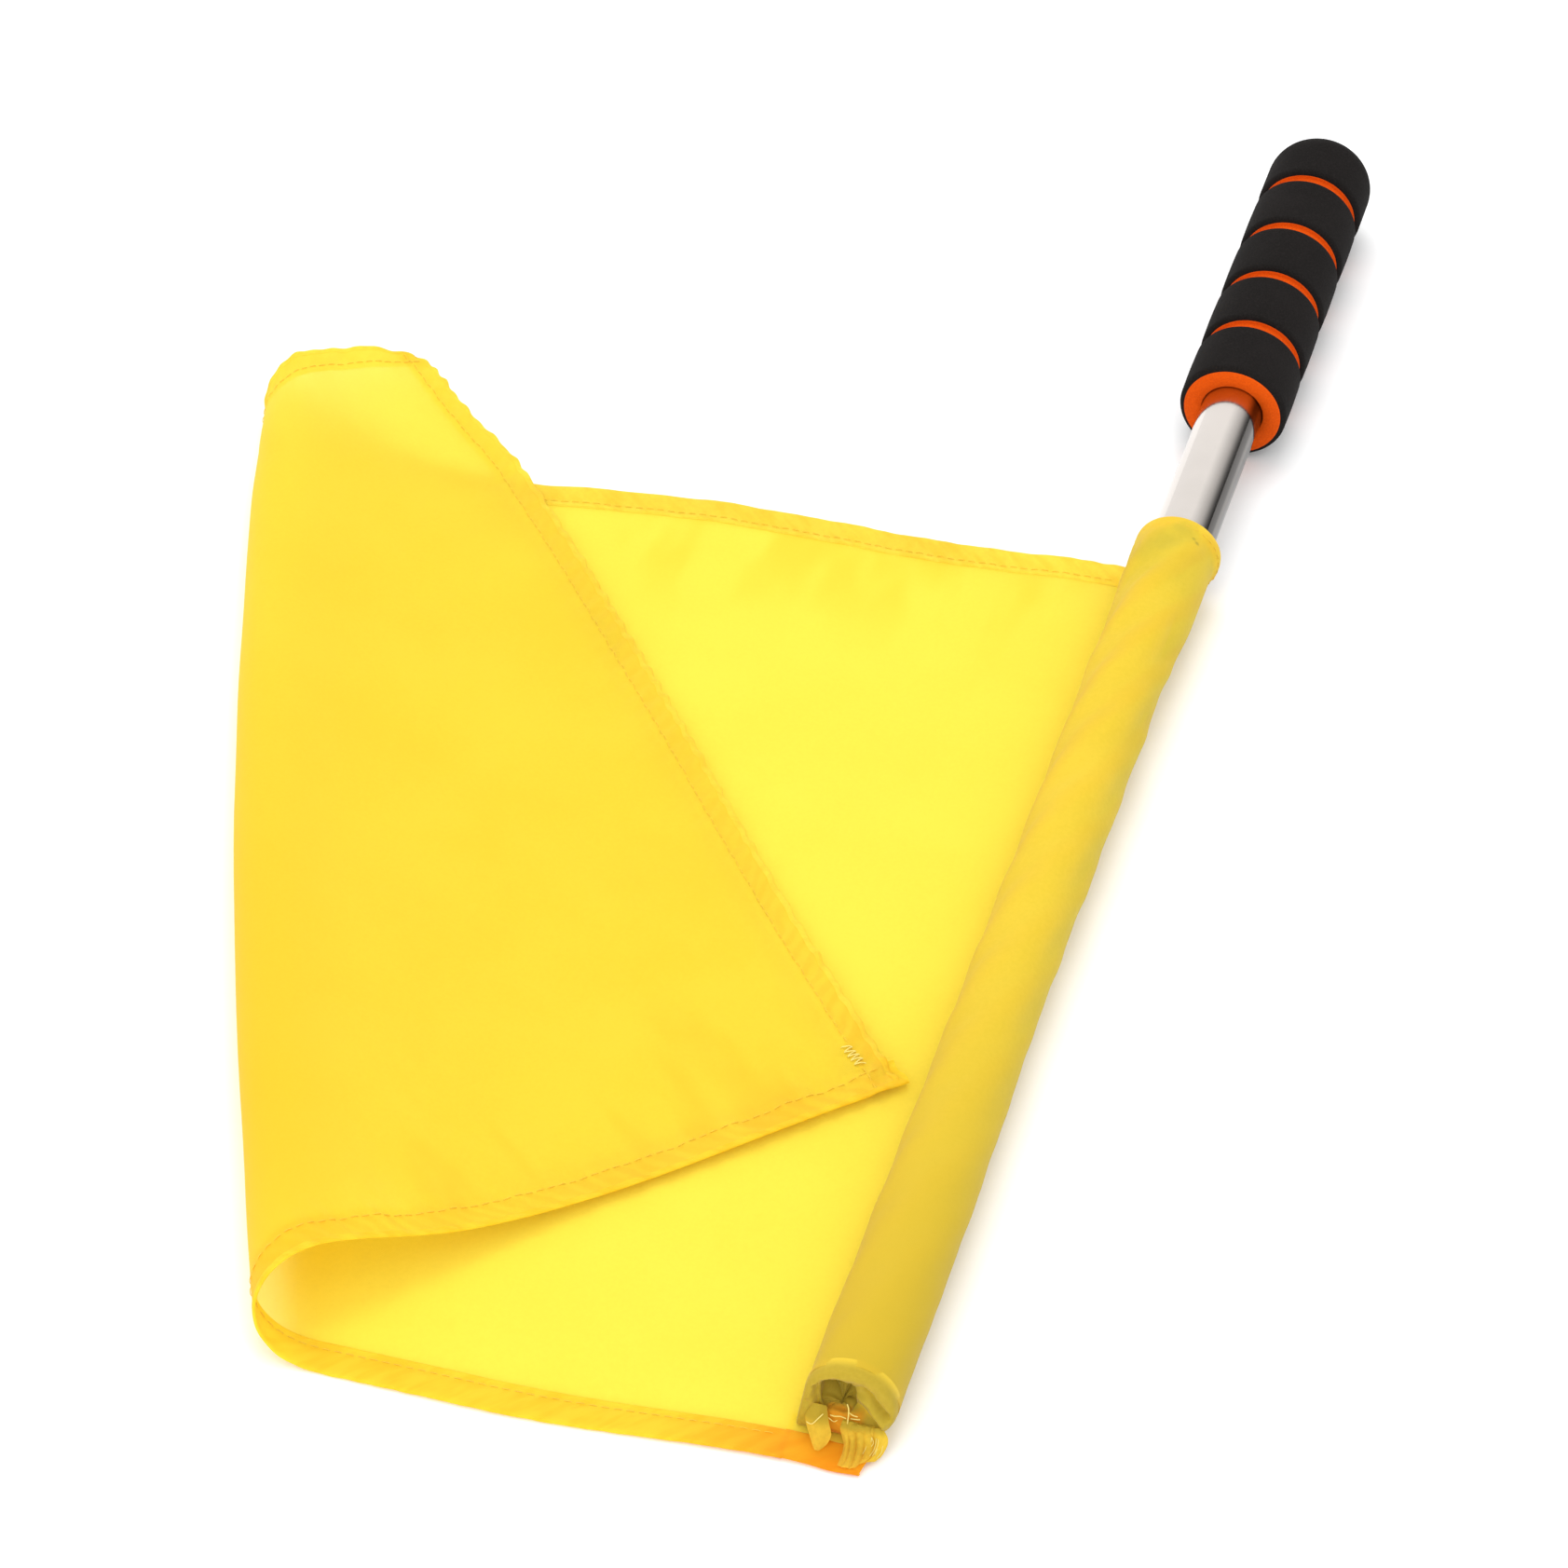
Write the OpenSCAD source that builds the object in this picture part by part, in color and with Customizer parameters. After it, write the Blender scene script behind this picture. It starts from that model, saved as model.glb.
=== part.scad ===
// Hand signal flag: a square cloth flag sewn round a steel tube, with a ribbed foam grip.
// The tube's axis is the Y axis and the grip is at the +Y end. The origin is the middle of the
// grip. The flag lies out to -X on the surface that the part rests on, and its free side is
// rolled back over itself.

/* [Pole] */
// Outer diameter of the steel tube
pole_d = 18; // [12:0.5:22]
// Wall thickness of the steel tube
pole_wall = 0.8; // [0.5:0.1:1.5]
// Length of bare tube between the grip and the cloth
bare_len = 66; // [30:1:120]

/* [Grip] */
// Outer diameter of the foam grip
grip_d = 32; // [26:0.5:40]
// Thickness of the black outer skin
skin = 1.6; // [1:0.1:3]
// Depth of each groove below the outside of the skin
groove_depth = 2.8; // [2:0.1:4]
// Width of each groove
groove_w = 3.9; // [2:0.1:6]
// Distance from one groove to the next
groove_pitch = 25.4; // [20:0.1:32]
// Number of grooves
groove_count = 4; // [4:1:4]
// Length of the grip up to the start of its round end
grip_straight = 117; // [112:1:124]
// How far the round end stands out past the straight length
dome_h = 13; // [8:0.5:15.5]
// Rounding on the edges of each black band
band_round = 1.6; // [0.5:0.1:1.6]
// Thickness of the adhesive layer between the tube and the foam
grip_tape_t = 0.3; // [0.1:0.1:0.5]

/* [Cloth] */
// Length of the flag from the sleeve's seam to its free edge
fly_len = 337; // [300:1:360]
// Height of the flag along the pole
hoist_len = 350; // [340:1:356]
// Thickness of a single layer of cloth
cloth_t = 0.6; // [0.4:0.1:0.8]
// Thickness of the turned-over layer of a hem
hem_t = 0.4; // [0.3:0.1:0.5]
// Width of the turned-over hems
hem_w = 9; // [6:0.5:12]
// How far the free corners are drawn in by the hems' stitching
corner_draw = 5; // [0:0.5:8]
// How far the top hem is drawn in where the cloth rolls over
top_draw = 12; // [0:0.5:14]
// Outer diameter of the sleeve along its middle
sleeve_d = 23.2; // [22.6:0.1:26]
// Outer diameter of the sleeve's open mouth
mouth_d = 25; // [23.4:0.1:27]

/* [Roll] */
// Angle between the line of the roll and the pole
roll_angle = 21.7; // [15:0.1:25]
// Distance from the pole to the start of the roll, along the bottom hem
roll_start = 125.7; // [110:0.1:140]
// Length of cloth that turns over
roll_len = 54.5; // [50:0.5:60]
// Largest angle that the cloth turns through before it comes down again
roll_turn = 202; // [198:0.5:205]
// Length of cloth that comes down to lie on the lower layer
settle_len = 91; // [85:1:110]
// How much smaller the roll is at the top hem
roll_taper = 0.23; // [0:0.01:0.3]
// How far the line of the roll bows outwards in the middle
roll_bow = 5.6; // [0:0.1:8]

/* [Hidden] */
$fn = 96;

// Stations along the pole count from the grip's open face: + into the grip, - towards the tip.
origin_station = 60;
pole_r = pole_d / 2;
bore_r = pole_r - pole_wall;
grip_r = grip_d / 2;
core_r = grip_r - skin;
tape_r = pole_r + grip_tape_t;
pole_end_in_grip = 98;
mouth_s = -bare_len;
top_s = mouth_s + 1.5;
bottom_s = top_s - hoist_len;
rim_s = bottom_s + 15;
pole_tip_s = rim_s + 6;

// The surface that the part rests on touches the grip's open face and the tip.
tip_clear = 12.3;
floor_slope = (grip_r - tip_clear) / -rim_s;
function floor_z(s) = -grip_r - floor_slope * s;

// The seam where the flag leaves the sleeve is the line that the flag swings on.
seam_x = -13.6;
seam_z = -11.3;
seam_gap = 0.7;
sleeve_r = sleeve_d / 2;
sleeve_in = sleeve_r - 0.8;
mouth_r = mouth_d / 2;
mouth_flare = 26;
panel_lift = 0.4;
settle_run = 60;

steel = "#d8d6d4";
black = "#24211f";
orange = "#f4560c";
yellow = "#ffe83a";
yellow_dark = "#e8c83a";
thread = "#f2c030";

// ---- helpers ----

// Turns a shape made along Z so that it runs along the pole, and shifts it to its station.
module on_pole(s = 0) {
    translate([0, s - origin_station, 0]) rotate([-90, 0, 0]) children();
}

module ring(r_out, r_in, len) {
    difference() {
        cylinder(r = r_out, h = len);
        translate([0, 0, -1]) cylinder(r = r_in, h = len + 2);
    }
}

function smooth(x) = let (c = min(max(x, 0), 1)) c * c * (3 - 2 * c);

// ---- the rolled sheet ----
// A point of the flat cloth is [x, s]: x across from the pole (negative), s the station.
// Across the roll the cloth's slope follows one smooth curve, summed up in short steps.
roll_total = roll_len + settle_len;
steps = 120;
step = roll_total / steps;
function slope(d) = roll_turn * smooth(d / roll_len)
    - (roll_turn - 180) * smooth((d - roll_len) / settle_len);
profile = [for (i = 0, d = 0, run = 0, rise = 0; i <= steps;
                run = run + step * cos(slope(d + step / 2)),
                rise = rise + step * sin(slope(d + step / 2)),
                d = d + step, i = i + 1) [d, run, rise]];
run_table = [for (p = profile) [p[0], p[1]]];
rise_table = [for (p = profile) [p[0], p[2]]];
function run_at(d) = d < 0 ? d : d < roll_total ? lookup(d, run_table)
    : run_table[steps][1] - (d - roll_total);
function rise_at(d) = d < 0 ? 0 : lookup(min(d, roll_total), rise_table);
function slope_at(d) = d < 0 ? 0 : slope(min(d, roll_total));

along = [-sin(roll_angle), cos(roll_angle)];
across = [-cos(roll_angle), -sin(roll_angle)];
roll_origin = [-roll_start, bottom_s];
function taper(t) = 1 - roll_taper * t / 350;
function bow(t) = roll_bow * sin(180 * min(max(t / 350, 0), 1));
function base_z(x, s) = let (f = smooth((seam_x - x) / settle_run))
    seam_z + (floor_z(s) + panel_lift - seam_z) * f;

// The top hem's stitching draws the cloth in along the stretch that rolls over.
draw_from = 120;
draw_to = 346;
draw_depth = 120;
function drawn(p) = let (
    u = min(max((-p[0] - draw_from) / (draw_to - draw_from), 0), 1),
    pull = top_draw * pow(sin(180 * u), 2) * smooth((p[1] - top_s + draw_depth) / draw_depth))
    [p[0], p[1] - pull];

// Place of a point of the cloth, "out" millimetres off its middle layer on the hem side.
function cloth(p, out) = let (
    q = drawn(p) - roll_origin,
    t = q * along,
    k = taper(t),
    d = (q * across - bow(t)) / k,
    a = slope_at(d),
    reach = run_at(d) * k + bow(t) - out * sin(a),
    flat = roll_origin + t * along + reach * across)
    [flat[0], flat[1] - origin_station,
     base_z(flat[0], flat[1]) + rise_at(d) * k + out * cos(a)];

function fly_x(s) = seam_x - fly_len + corner_draw
    - 2 * corner_draw * sin(180 * (s - bottom_s) / hoist_len);
function roll_x(s) = -roll_start - (s - bottom_s) * tan(roll_angle);

// Columns of the sheet: even ones up to the roll, close ones in it, then even ones again up to
// the fly hem, which is the last column. The first and last rows are the other two hems.
lead_cols = 8;
roll_cols = 16;
flap_cols = 11;
fly_col = lead_cols + roll_cols + flap_cols;
cols = fly_col + 1;
rows = 26;
function roll_end_x(s) = roll_x(s) - roll_len * taper(s - bottom_s) / cos(roll_angle) - 4;
function mix(a, b, f) = a + (b - a) * f;
function col_x(i, s) =
    i <= lead_cols ? mix(seam_x - seam_gap, roll_x(s), i / lead_cols)
    : i <= lead_cols + roll_cols
        ? mix(roll_x(s), roll_end_x(s), (i - lead_cols) / roll_cols)
    : i <= fly_col
        ? mix(roll_end_x(s), fly_x(s) + hem_w, (i - lead_cols - roll_cols) / flap_cols)
    : fly_x(s);
function row_s(r) = r == 0 ? bottom_s : r == rows ? top_s
    : mix(bottom_s + hem_w, top_s - hem_w, (r - 1) / (rows - 2));
flag_grid = [for (r = [0:rows]) [for (i = [0:cols]) [col_x(i, row_s(r)), row_s(r)]]];

// A closed sheet over a grid of flat points, between two distances off the middle layer.
module sheet(grid, low, high) {
    m = len(grid);
    n = len(grid[0]);
    top = m * n;
    points = [for (o = [high, low]) for (row = grid) for (p = row) cloth(p, o)];
    quads = [for (r = [0:m - 2]) for (c = [0:n - 2]) [r * n + c, r * n + c + 1,
        (r + 1) * n + c + 1, (r + 1) * n + c]];
    rim = concat([for (c = [0:n - 1]) c], [for (r = [1:m - 1]) r * n + n - 1],
        [for (c = [n - 2:-1:0]) (m - 1) * n + c], [for (r = [m - 2:-1:1]) r * n]);
    faces = concat(
        [for (q = quads) for (f = [[q[0], q[1], q[2]], [q[0], q[2], q[3]]]) f],
        [for (q = quads) for (f = [[q[2], q[1], q[0]], [q[3], q[2], q[0]]])
            [for (v = f) v + top]],
        [for (i = [0:len(rim) - 1]) let (a = rim[i], b = rim[(i + 1) % len(rim)])
            for (f = [[b, a, a + top], [b, a + top, b + top]]) f]);
    polyhedron(points, faces);
}

// The turned-over layer of a hem, on the same grid as the panel so that the two lie face to face.
module hem_layer(grid) {
    color(yellow_dark) sheet(grid, cloth_t / 2, cloth_t / 2 + hem_t);
}

// One stitch: a short thread laid on the hem side of the cloth from one flat point to another.
stitch_len = 7;
stitch_pitch = 12;
stitch_w = 0.7;
stitch_t = 0.3;
stitch_clear = 0.2;
module stitch(from, to) {
    dir = (to - from) / norm(to - from);
    side = [-dir[1], dir[0]] * stitch_w / 2;
    low = cloth_t / 2 + hem_t + stitch_clear;
    corners = [from - side, to - side, to + side, from + side];
    points = [for (o = [low, low + stitch_t]) for (c = corners) cloth(c, o)];
    sides = [[0, 1, 2, 3], [7, 6, 5, 4], [1, 0, 4, 5], [2, 1, 5, 6], [3, 2, 6, 7],
        [0, 3, 7, 4]];
    polyhedron(points, [for (f = sides) for (t = [[f[0], f[1], f[2]], [f[0], f[2], f[3]]]) t]);
}

// ---- pole and grip ----

module pole_tube() {
    color(steel) on_pole(pole_tip_s) ring(pole_r, bore_r, pole_end_in_grip - pole_tip_s);
}

module grip_tape() {
    color("tan") on_pole(2) ring(tape_r, pole_r, pole_end_in_grip - 2);
}

function groove_start(i) = groove_pitch * i - groove_w + 0.7;
groove_r = grip_r - groove_depth;

// Outline of the orange core from its open face to its round end.
core_outline = concat(
    [[tape_r, 0], [core_r, 0]],
    [for (i = [1:groove_count]) let (a = groove_start(i), b = a + groove_w)
        each [[core_r, a], [groove_r, a], [groove_r, b], [core_r, b]]],
    [for (a = [0:15:90]) [core_r * cos(a), grip_straight + (dome_h - skin) * sin(a)]],
    [[0, pole_end_in_grip], [tape_r, pole_end_in_grip]]);

module grip_core() {
    color(orange) on_pole() rotate_extrude() polygon(core_outline);
}

// A band of black skin with rounded edges, between two stations.
module band(a, b) {
    r = band_round;
    on_pole() rotate_extrude() polygon(concat(
        [[core_r, a], [grip_r - r, a]],
        [for (w = [15:15:90]) [grip_r - r + r * sin(w), a + r - r * cos(w)]],
        [for (w = [0:15:75]) [grip_r - r + r * cos(w), b - r + r * sin(w)]],
        [[grip_r - r, b], [core_r, b]]));
}

module grip_band(i) {
    color(black) band(i == 1 ? 0.3 : groove_start(i - 1) + groove_w, groove_start(i));
}

module grip_band_1() { grip_band(1); }
module grip_band_2() { grip_band(2); }
module grip_band_3() { grip_band(3); }
module grip_band_4() { grip_band(4); }

module grip_end_cap() {
    a = groove_start(groove_count) + groove_w;
    r = band_round;
    color(black) on_pole() rotate_extrude() polygon(concat(
        [[core_r, a], [grip_r - r, a]],
        [for (w = [15:15:90]) [grip_r - r + r * sin(w), a + r - r * cos(w)]],
        [for (w = [0:7.5:90]) [grip_r * cos(w), grip_straight + dome_h * sin(w)]],
        [for (w = [90:-15:0]) [core_r * cos(w), grip_straight + (dome_h - skin) * sin(w)]]));
}

// ---- sleeve ----

sleeve_tape_s = mouth_s - 26;
module sleeve_tape() {
    color("olive") on_pole(sleeve_tape_s) ring(sleeve_in, pole_r, 18);
}

// Cloth tube round the pole. Its seam allowance makes a thin wedge on the flag's side.
module pole_sleeve() {
    wall = sleeve_r - sleeve_in;
    flare_s = mouth_s - mouth_flare;
    wedge = [[0, -sleeve_r], [seam_x + 1.1, -sleeve_r], [seam_x + 1.1, seam_z + 0.7],
             [-sleeve_r, -2], [0, 0]];
    color(yellow_dark) difference() {
        union() {
            on_pole() rotate_extrude() polygon([[0, rim_s + 1.5], [sleeve_r, rim_s + 1.5],
                [sleeve_r, flare_s], [mouth_r, mouth_s - 6], [mouth_r, mouth_s], [0, mouth_s]]);
            translate([0, mouth_s - origin_station, 0]) rotate([90, 0, 0])
                linear_extrude(height = mouth_s - rim_s - 1.5) polygon(wedge);
        }
        on_pole() rotate_extrude() polygon([[0, rim_s - 5], [sleeve_in, rim_s - 5],
            [sleeve_in, flare_s], [mouth_r - wall, mouth_s - 6], [mouth_r - wall, mouth_s + 5],
            [0, mouth_s + 5]]);
    }
}

mouth_hem_w = 2.5;
module sleeve_mouth_hem() {
    r = mouth_r - sleeve_r + sleeve_in;
    color(yellow_dark) on_pole(mouth_s - mouth_hem_w) ring(r, r - hem_t, mouth_hem_w);
}

module sleeve_stitches() {
    count = floor((mouth_s - rim_s - 10) / stitch_pitch);
    color(thread) for (i = [0:count - 1])
        translate([seam_x + 1.6, rim_s + 8 + i * stitch_pitch - origin_station,
                   -sleeve_r - 0.35]) cube([stitch_w, stitch_len, 0.3]);
}

// A ring of stitches round the mouth, apart from the side where the seam allowance stands out.
module mouth_stitches() {
    first = 171;
    pitch = 25.5;
    r = mouth_r + 0.05;
    color(thread) on_pole(mouth_s - mouth_hem_w) for (i = [0:11])
        rotate([0, 0, first + i * pitch]) rotate_extrude(angle = 15)
            translate([r, 0]) square([0.3, 0.4]);
}

// ---- tip ----

tuck_out = bore_r - 0.1;
tuck_in = tuck_out - cloth_t;
module tip_tuck() {
    color(yellow_dark) on_pole() rotate_extrude() polygon([[tuck_in, rim_s],
        [sleeve_r - 0.3, rim_s], [sleeve_r, rim_s + 0.5], [sleeve_r, rim_s + 1.5],
        [tuck_out, rim_s + 1.5], [tuck_out, rim_s + 16], [tuck_in, rim_s + 16]]);
}

// A strip of raw cloth that comes out of the tip and bends down, seen from the side.
module tail(x, width, path) {
    color(yellow_dark) translate([x, -origin_station, 0]) rotate([90, 0, 90])
        linear_extrude(height = width) polygon(path);
}

module tip_tail_left() {
    s = rim_s - 0.1;
    tail(-7.2, 4.5, [[s, -1.5], [s - 4, -2.2], [s - 8, -5], [s - 11, -10.6], [s - 9.6, -10.6],
        [s - 6.8, -6], [s - 3.2, -3.4], [s, -2.9]]);
}

module tip_tail_right() {
    s = rim_s - 0.1;
    path = [[s, -0.4], [s - 5, -1.2], [s - 9.5, -4.5], [s - 12, -10.6], [s - 10.6, -10.6],
        [s - 8, -5.6], [s - 4.2, -2.6], [s, -1.8]];
    for (i = [0:2]) tail(1 + i * 3, 2.5, path);
}

module frayed_threads() {
    color(thread) for (i = [0:4])
        translate([-5 + i * 2.4, rim_s - 0.2 - origin_station, 1.5 + (i % 2)])
            rotate([90 - 12 * i, 0, 0]) cylinder(r = 0.3, h = 5 + (i % 3), $fn = 8);
}

// The bottom hem's end runs on under the tip of the sleeve.
module hem_corner() {
    low = floor_z(rim_s);
    color(orange) translate([seam_x + 1.1, bottom_s - origin_station, low])
        cube([19, rim_s - bottom_s - 0.1, cloth_t + hem_t]);
}

// ---- flag ----

module flag_panel() {
    color(yellow) sheet(flag_grid, -cloth_t / 2, cloth_t / 2);
}

module top_hem() { hem_layer([flag_grid[rows - 1], flag_grid[rows]]); }
module bottom_hem() { hem_layer([flag_grid[0], flag_grid[1]]); }
module fly_hem() {
    hem_layer([for (r = [1:rows - 1]) [flag_grid[r][fly_col], flag_grid[r][cols]]]);
}

// Stitch line of a hem, this far in from the edge.
stitch_in = hem_w - 2;
corner_room = 24;
module hem_row(s) {
    from = seam_x - 6;
    count = floor((from - fly_x(s) - corner_room) / stitch_pitch);
    color(thread) for (i = [0:count])
        stitch([from - i * stitch_pitch, s], [from - i * stitch_pitch - stitch_len, s]);
}

module top_hem_stitches() { hem_row(top_s - stitch_in); }
module bottom_hem_stitches() { hem_row(bottom_s + stitch_in); }

module fly_hem_stitches() {
    first = bottom_s + hem_w + 4;
    count = floor((hoist_len - 2 * hem_w - 12) / stitch_pitch);
    color(thread) for (i = [0:count - 1]) let (a = first + i * stitch_pitch,
        b = a + stitch_len)
            stitch([fly_x(b) + stitch_in, b], [fly_x(a) + stitch_in, a]);
}

// Zigzag of thread that locks the free lower corner.
module corner_bartack() {
    zig = 3;
    s0 = bottom_s + 1.5;
    x0 = fly_x(bottom_s) + hem_w + 1.5;
    color(thread) for (i = [0:3])
        stitch([x0 + (i % 2) * zig, s0 + i * 1.6 + 0.7], [x0 + ((i + 1) % 2) * zig,
            s0 + (i + 1) * 1.6 - 0.1]);
}

pole_tube();
grip_tape();
grip_core();
grip_band_1();
grip_band_2();
grip_band_3();
grip_band_4();
grip_end_cap();
sleeve_tape();
pole_sleeve();
sleeve_mouth_hem();
sleeve_stitches();
mouth_stitches();
tip_tuck();
tip_tail_left();
tip_tail_right();
frayed_threads();
hem_corner();
flag_panel();
top_hem();
bottom_hem();
fly_hem();
top_hem_stitches();
bottom_hem_stitches();
fly_hem_stitches();
corner_bartack();
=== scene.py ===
"""The looks of a hand signal flag: a yellow cloth flag sewn round a steel tube with a foam grip.

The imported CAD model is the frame. The tube's axis is Y, the grip is at +Y, and the flag lies out
to -X with its free side rolled back over itself. Lengths in this script are millimetres, and the
mesh functions turn them into metres.
"""

import math
from math import pi

import bpy
import numpy as np
from mathutils import Matrix, Vector


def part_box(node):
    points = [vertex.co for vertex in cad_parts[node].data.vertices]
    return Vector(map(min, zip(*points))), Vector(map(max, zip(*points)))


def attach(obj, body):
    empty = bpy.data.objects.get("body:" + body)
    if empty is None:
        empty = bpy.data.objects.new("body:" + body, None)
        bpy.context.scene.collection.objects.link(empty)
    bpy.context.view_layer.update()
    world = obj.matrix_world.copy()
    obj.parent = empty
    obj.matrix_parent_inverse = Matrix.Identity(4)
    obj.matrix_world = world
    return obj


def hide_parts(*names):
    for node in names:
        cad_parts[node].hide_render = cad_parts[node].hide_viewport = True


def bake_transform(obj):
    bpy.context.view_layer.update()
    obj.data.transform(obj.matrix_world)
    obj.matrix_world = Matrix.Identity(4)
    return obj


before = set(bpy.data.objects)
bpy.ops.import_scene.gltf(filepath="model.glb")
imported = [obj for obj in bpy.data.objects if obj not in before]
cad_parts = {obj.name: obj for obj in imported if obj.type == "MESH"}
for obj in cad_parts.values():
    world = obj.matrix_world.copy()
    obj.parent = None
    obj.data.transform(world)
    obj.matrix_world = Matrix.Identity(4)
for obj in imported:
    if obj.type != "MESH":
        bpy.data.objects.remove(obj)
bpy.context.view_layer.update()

MM = 0.001


def box_mm(node):
    """Lowest and highest corner of a CAD node, in millimetres."""
    low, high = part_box(node)
    return np.array(low) / MM, np.array(high) / MM


# ---- sizes from the frame

pole_r = box_mm("pole_tube")[1][0]
core_r = 14.4
grip_r = box_mm("grip_band_1")[1][0]
grip_face_y = box_mm("grip_core")[0][1]
sleeve_r = 11.6
mouth_r = box_mm("pole_sleeve")[1][0]
mouth_y = box_mm("pole_sleeve")[1][1]
rim_y = box_mm("tip_tuck")[0][1]
top_y = mouth_y + 1.5
bottom_y = box_mm("flag_panel")[0][1]

# Stations count along the pole from the grip's open face, as in the CAD model.
FACE_STATION = -grip_face_y
top_s = top_y + FACE_STATION
hoist_len = 350
bottom_s = top_s - hoist_len
rim_s = rim_y + FACE_STATION
mouth_s = mouth_y + FACE_STATION

# The floor touches the grip's open face and the tip.
TIP_CLEAR = 12.3
floor_slope = (grip_r - TIP_CLEAR) / -rim_s

# ---- the rolled cloth

# The flat cloth starts at the seam beside the sleeve. The corners of its fly edge are drawn in.
seam_x = -13.6
seam_z = -11.3
fly_len = 337
hem_w = 9
corner_draw = 5

# The top edge is drawn down between two distances from the pole, and the cloth under it with it,
# less and less over draw_depth.
top_draw = 12
draw_from = 120
draw_to = 346
draw_depth = 120

# The roll starts at roll_start on the bottom edge and leans by roll_angle. It turns the cloth by
# roll_turn degrees within roll_len, and the cloth settles flat again over settle_len. The taper
# narrows it toward the top, and the bow bends its line.
roll_angle = math.radians(21.7)
roll_start = 125.7
roll_len = 54.5
roll_turn = 202
settle_len = 91
roll_taper = 0.23
roll_bow = 5.6

# The cloth comes down from the seam to the floor over this distance, and lies just above it.
settle_run = 60
panel_lift = 0.4
roll_total = roll_len + settle_len


def smooth(x):
    c = np.clip(x, 0, 1)
    return c * c * (3 - 2 * c)


def bell(x, middle, width):
    """A soft bump of height 1."""
    return np.exp(-(((x - middle) / width) ** 2))


def together(*values):
    """Points or UVs from their separate values, each of them one number or many."""
    return np.stack(np.broadcast_arrays(*values), -1).astype(float)


def floor_z(s):
    return -grip_r - floor_slope * s


def slope(d):
    """Slope of the cloth, in degrees, at a distance d past the start of the roll."""
    return roll_turn * smooth(d / roll_len) - (roll_turn - 180) * smooth((d - roll_len) / settle_len)


def roll_tables():
    """Run and rise of the rolled cloth, summed up in short steps."""
    steps = 480
    step = roll_total / steps
    d = np.arange(steps + 1) * step
    angle = np.radians(slope(d[:-1] + step / 2))
    run = np.concatenate([[0], np.cumsum(step * np.cos(angle))])
    rise = np.concatenate([[0], np.cumsum(step * np.sin(angle))])
    return d, run, rise


D_TABLE, RUN_TABLE, RISE_TABLE = roll_tables()
along = np.array([-math.sin(roll_angle), math.cos(roll_angle)])
across = np.array([-math.cos(roll_angle), -math.sin(roll_angle)])
roll_origin = np.array([-roll_start, bottom_s])


def fly_x(s):
    """The free edge, at station s of the flat cloth."""
    return (seam_x - fly_len + corner_draw
            - 2 * corner_draw * np.sin(pi * np.clip((s - bottom_s) / hoist_len, 0, 1)))


def roll_x(s):
    return -roll_start - (s - bottom_s) * math.tan(roll_angle)


def cloth(x, s, out):
    """Place of a point of the flat cloth, out millimetres off it on the hem side."""
    u = np.clip((-x - draw_from) / (draw_to - draw_from), 0, 1)
    pull = top_draw * np.sin(pi * u) ** 2 * smooth((s - top_s + draw_depth) / draw_depth)
    qx, qs = x - roll_origin[0], s - pull - roll_origin[1]
    t = qx * along[0] + qs * along[1]
    k = 1 - roll_taper * t / hoist_len
    bow = roll_bow * np.sin(pi * np.clip(t / hoist_len, 0, 1))
    d = (qx * across[0] + qs * across[1] - bow) / k
    inside = np.clip(d, 0, roll_total)
    a = np.radians(np.where(d < 0, 0, slope(inside)))
    run = np.interp(inside, D_TABLE, RUN_TABLE) + np.minimum(d, 0) - np.maximum(d - roll_total, 0)
    rise = np.interp(inside, D_TABLE, RISE_TABLE)
    reach = run * k + bow - out * np.sin(a)
    flat_x = roll_origin[0] + t * along[0] + reach * across[0]
    flat_s = roll_origin[1] + t * along[1] + reach * across[1]
    settle = smooth((seam_x - flat_x) / settle_run)
    base = seam_z + (floor_z(flat_s) + panel_lift - seam_z) * settle
    return np.stack([flat_x, flat_s - FACE_STATION, base + rise * k + out * np.cos(a)], -1)


def ripple(x, s, pitch, seed):
    """Smooth waves in several directions, from about -1 to 1, the same ones each run."""
    rng = np.random.default_rng(seed)
    total = np.zeros(np.broadcast(x, s).shape)
    for i in range(7):
        a = rng.uniform(0, 2 * pi)
        wave = 2 * pi / (pitch * rng.uniform(0.7, 1.6))
        total = total + np.sin(wave * (x * math.cos(a) + s * math.sin(a)) + rng.uniform(0, 6.28))
    return total / 3


# The stitching draws each hem up into small slanted waves.
PUCKER_PITCH = 6.8
STITCH_IN = hem_w - 2


def hem_wave(run, inset, seed):
    """Height of the puckers at a place run millimetres along a hem and inset from its edge."""
    slant = 0.55 * inset
    drift = 1.1 * np.sin(run / 23 + seed) + 0.8 * np.sin(run / 9.1 + 2 * seed)
    size = 0.65 + 0.35 * np.sin(run / 31 + 3 * seed)
    fade = np.exp(-np.maximum(inset - STITCH_IN, 0) / 4.5)
    tight = np.sin(2 * pi * (run + slant) / PUCKER_PITCH + drift)
    loose = np.sin(2 * pi * (run + slant) / (1.7 * PUCKER_PITCH) + 1.5 * drift + seed)
    return fade * (0.75 * size * tight + 0.45 * (1.4 - size) * loose)


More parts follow.
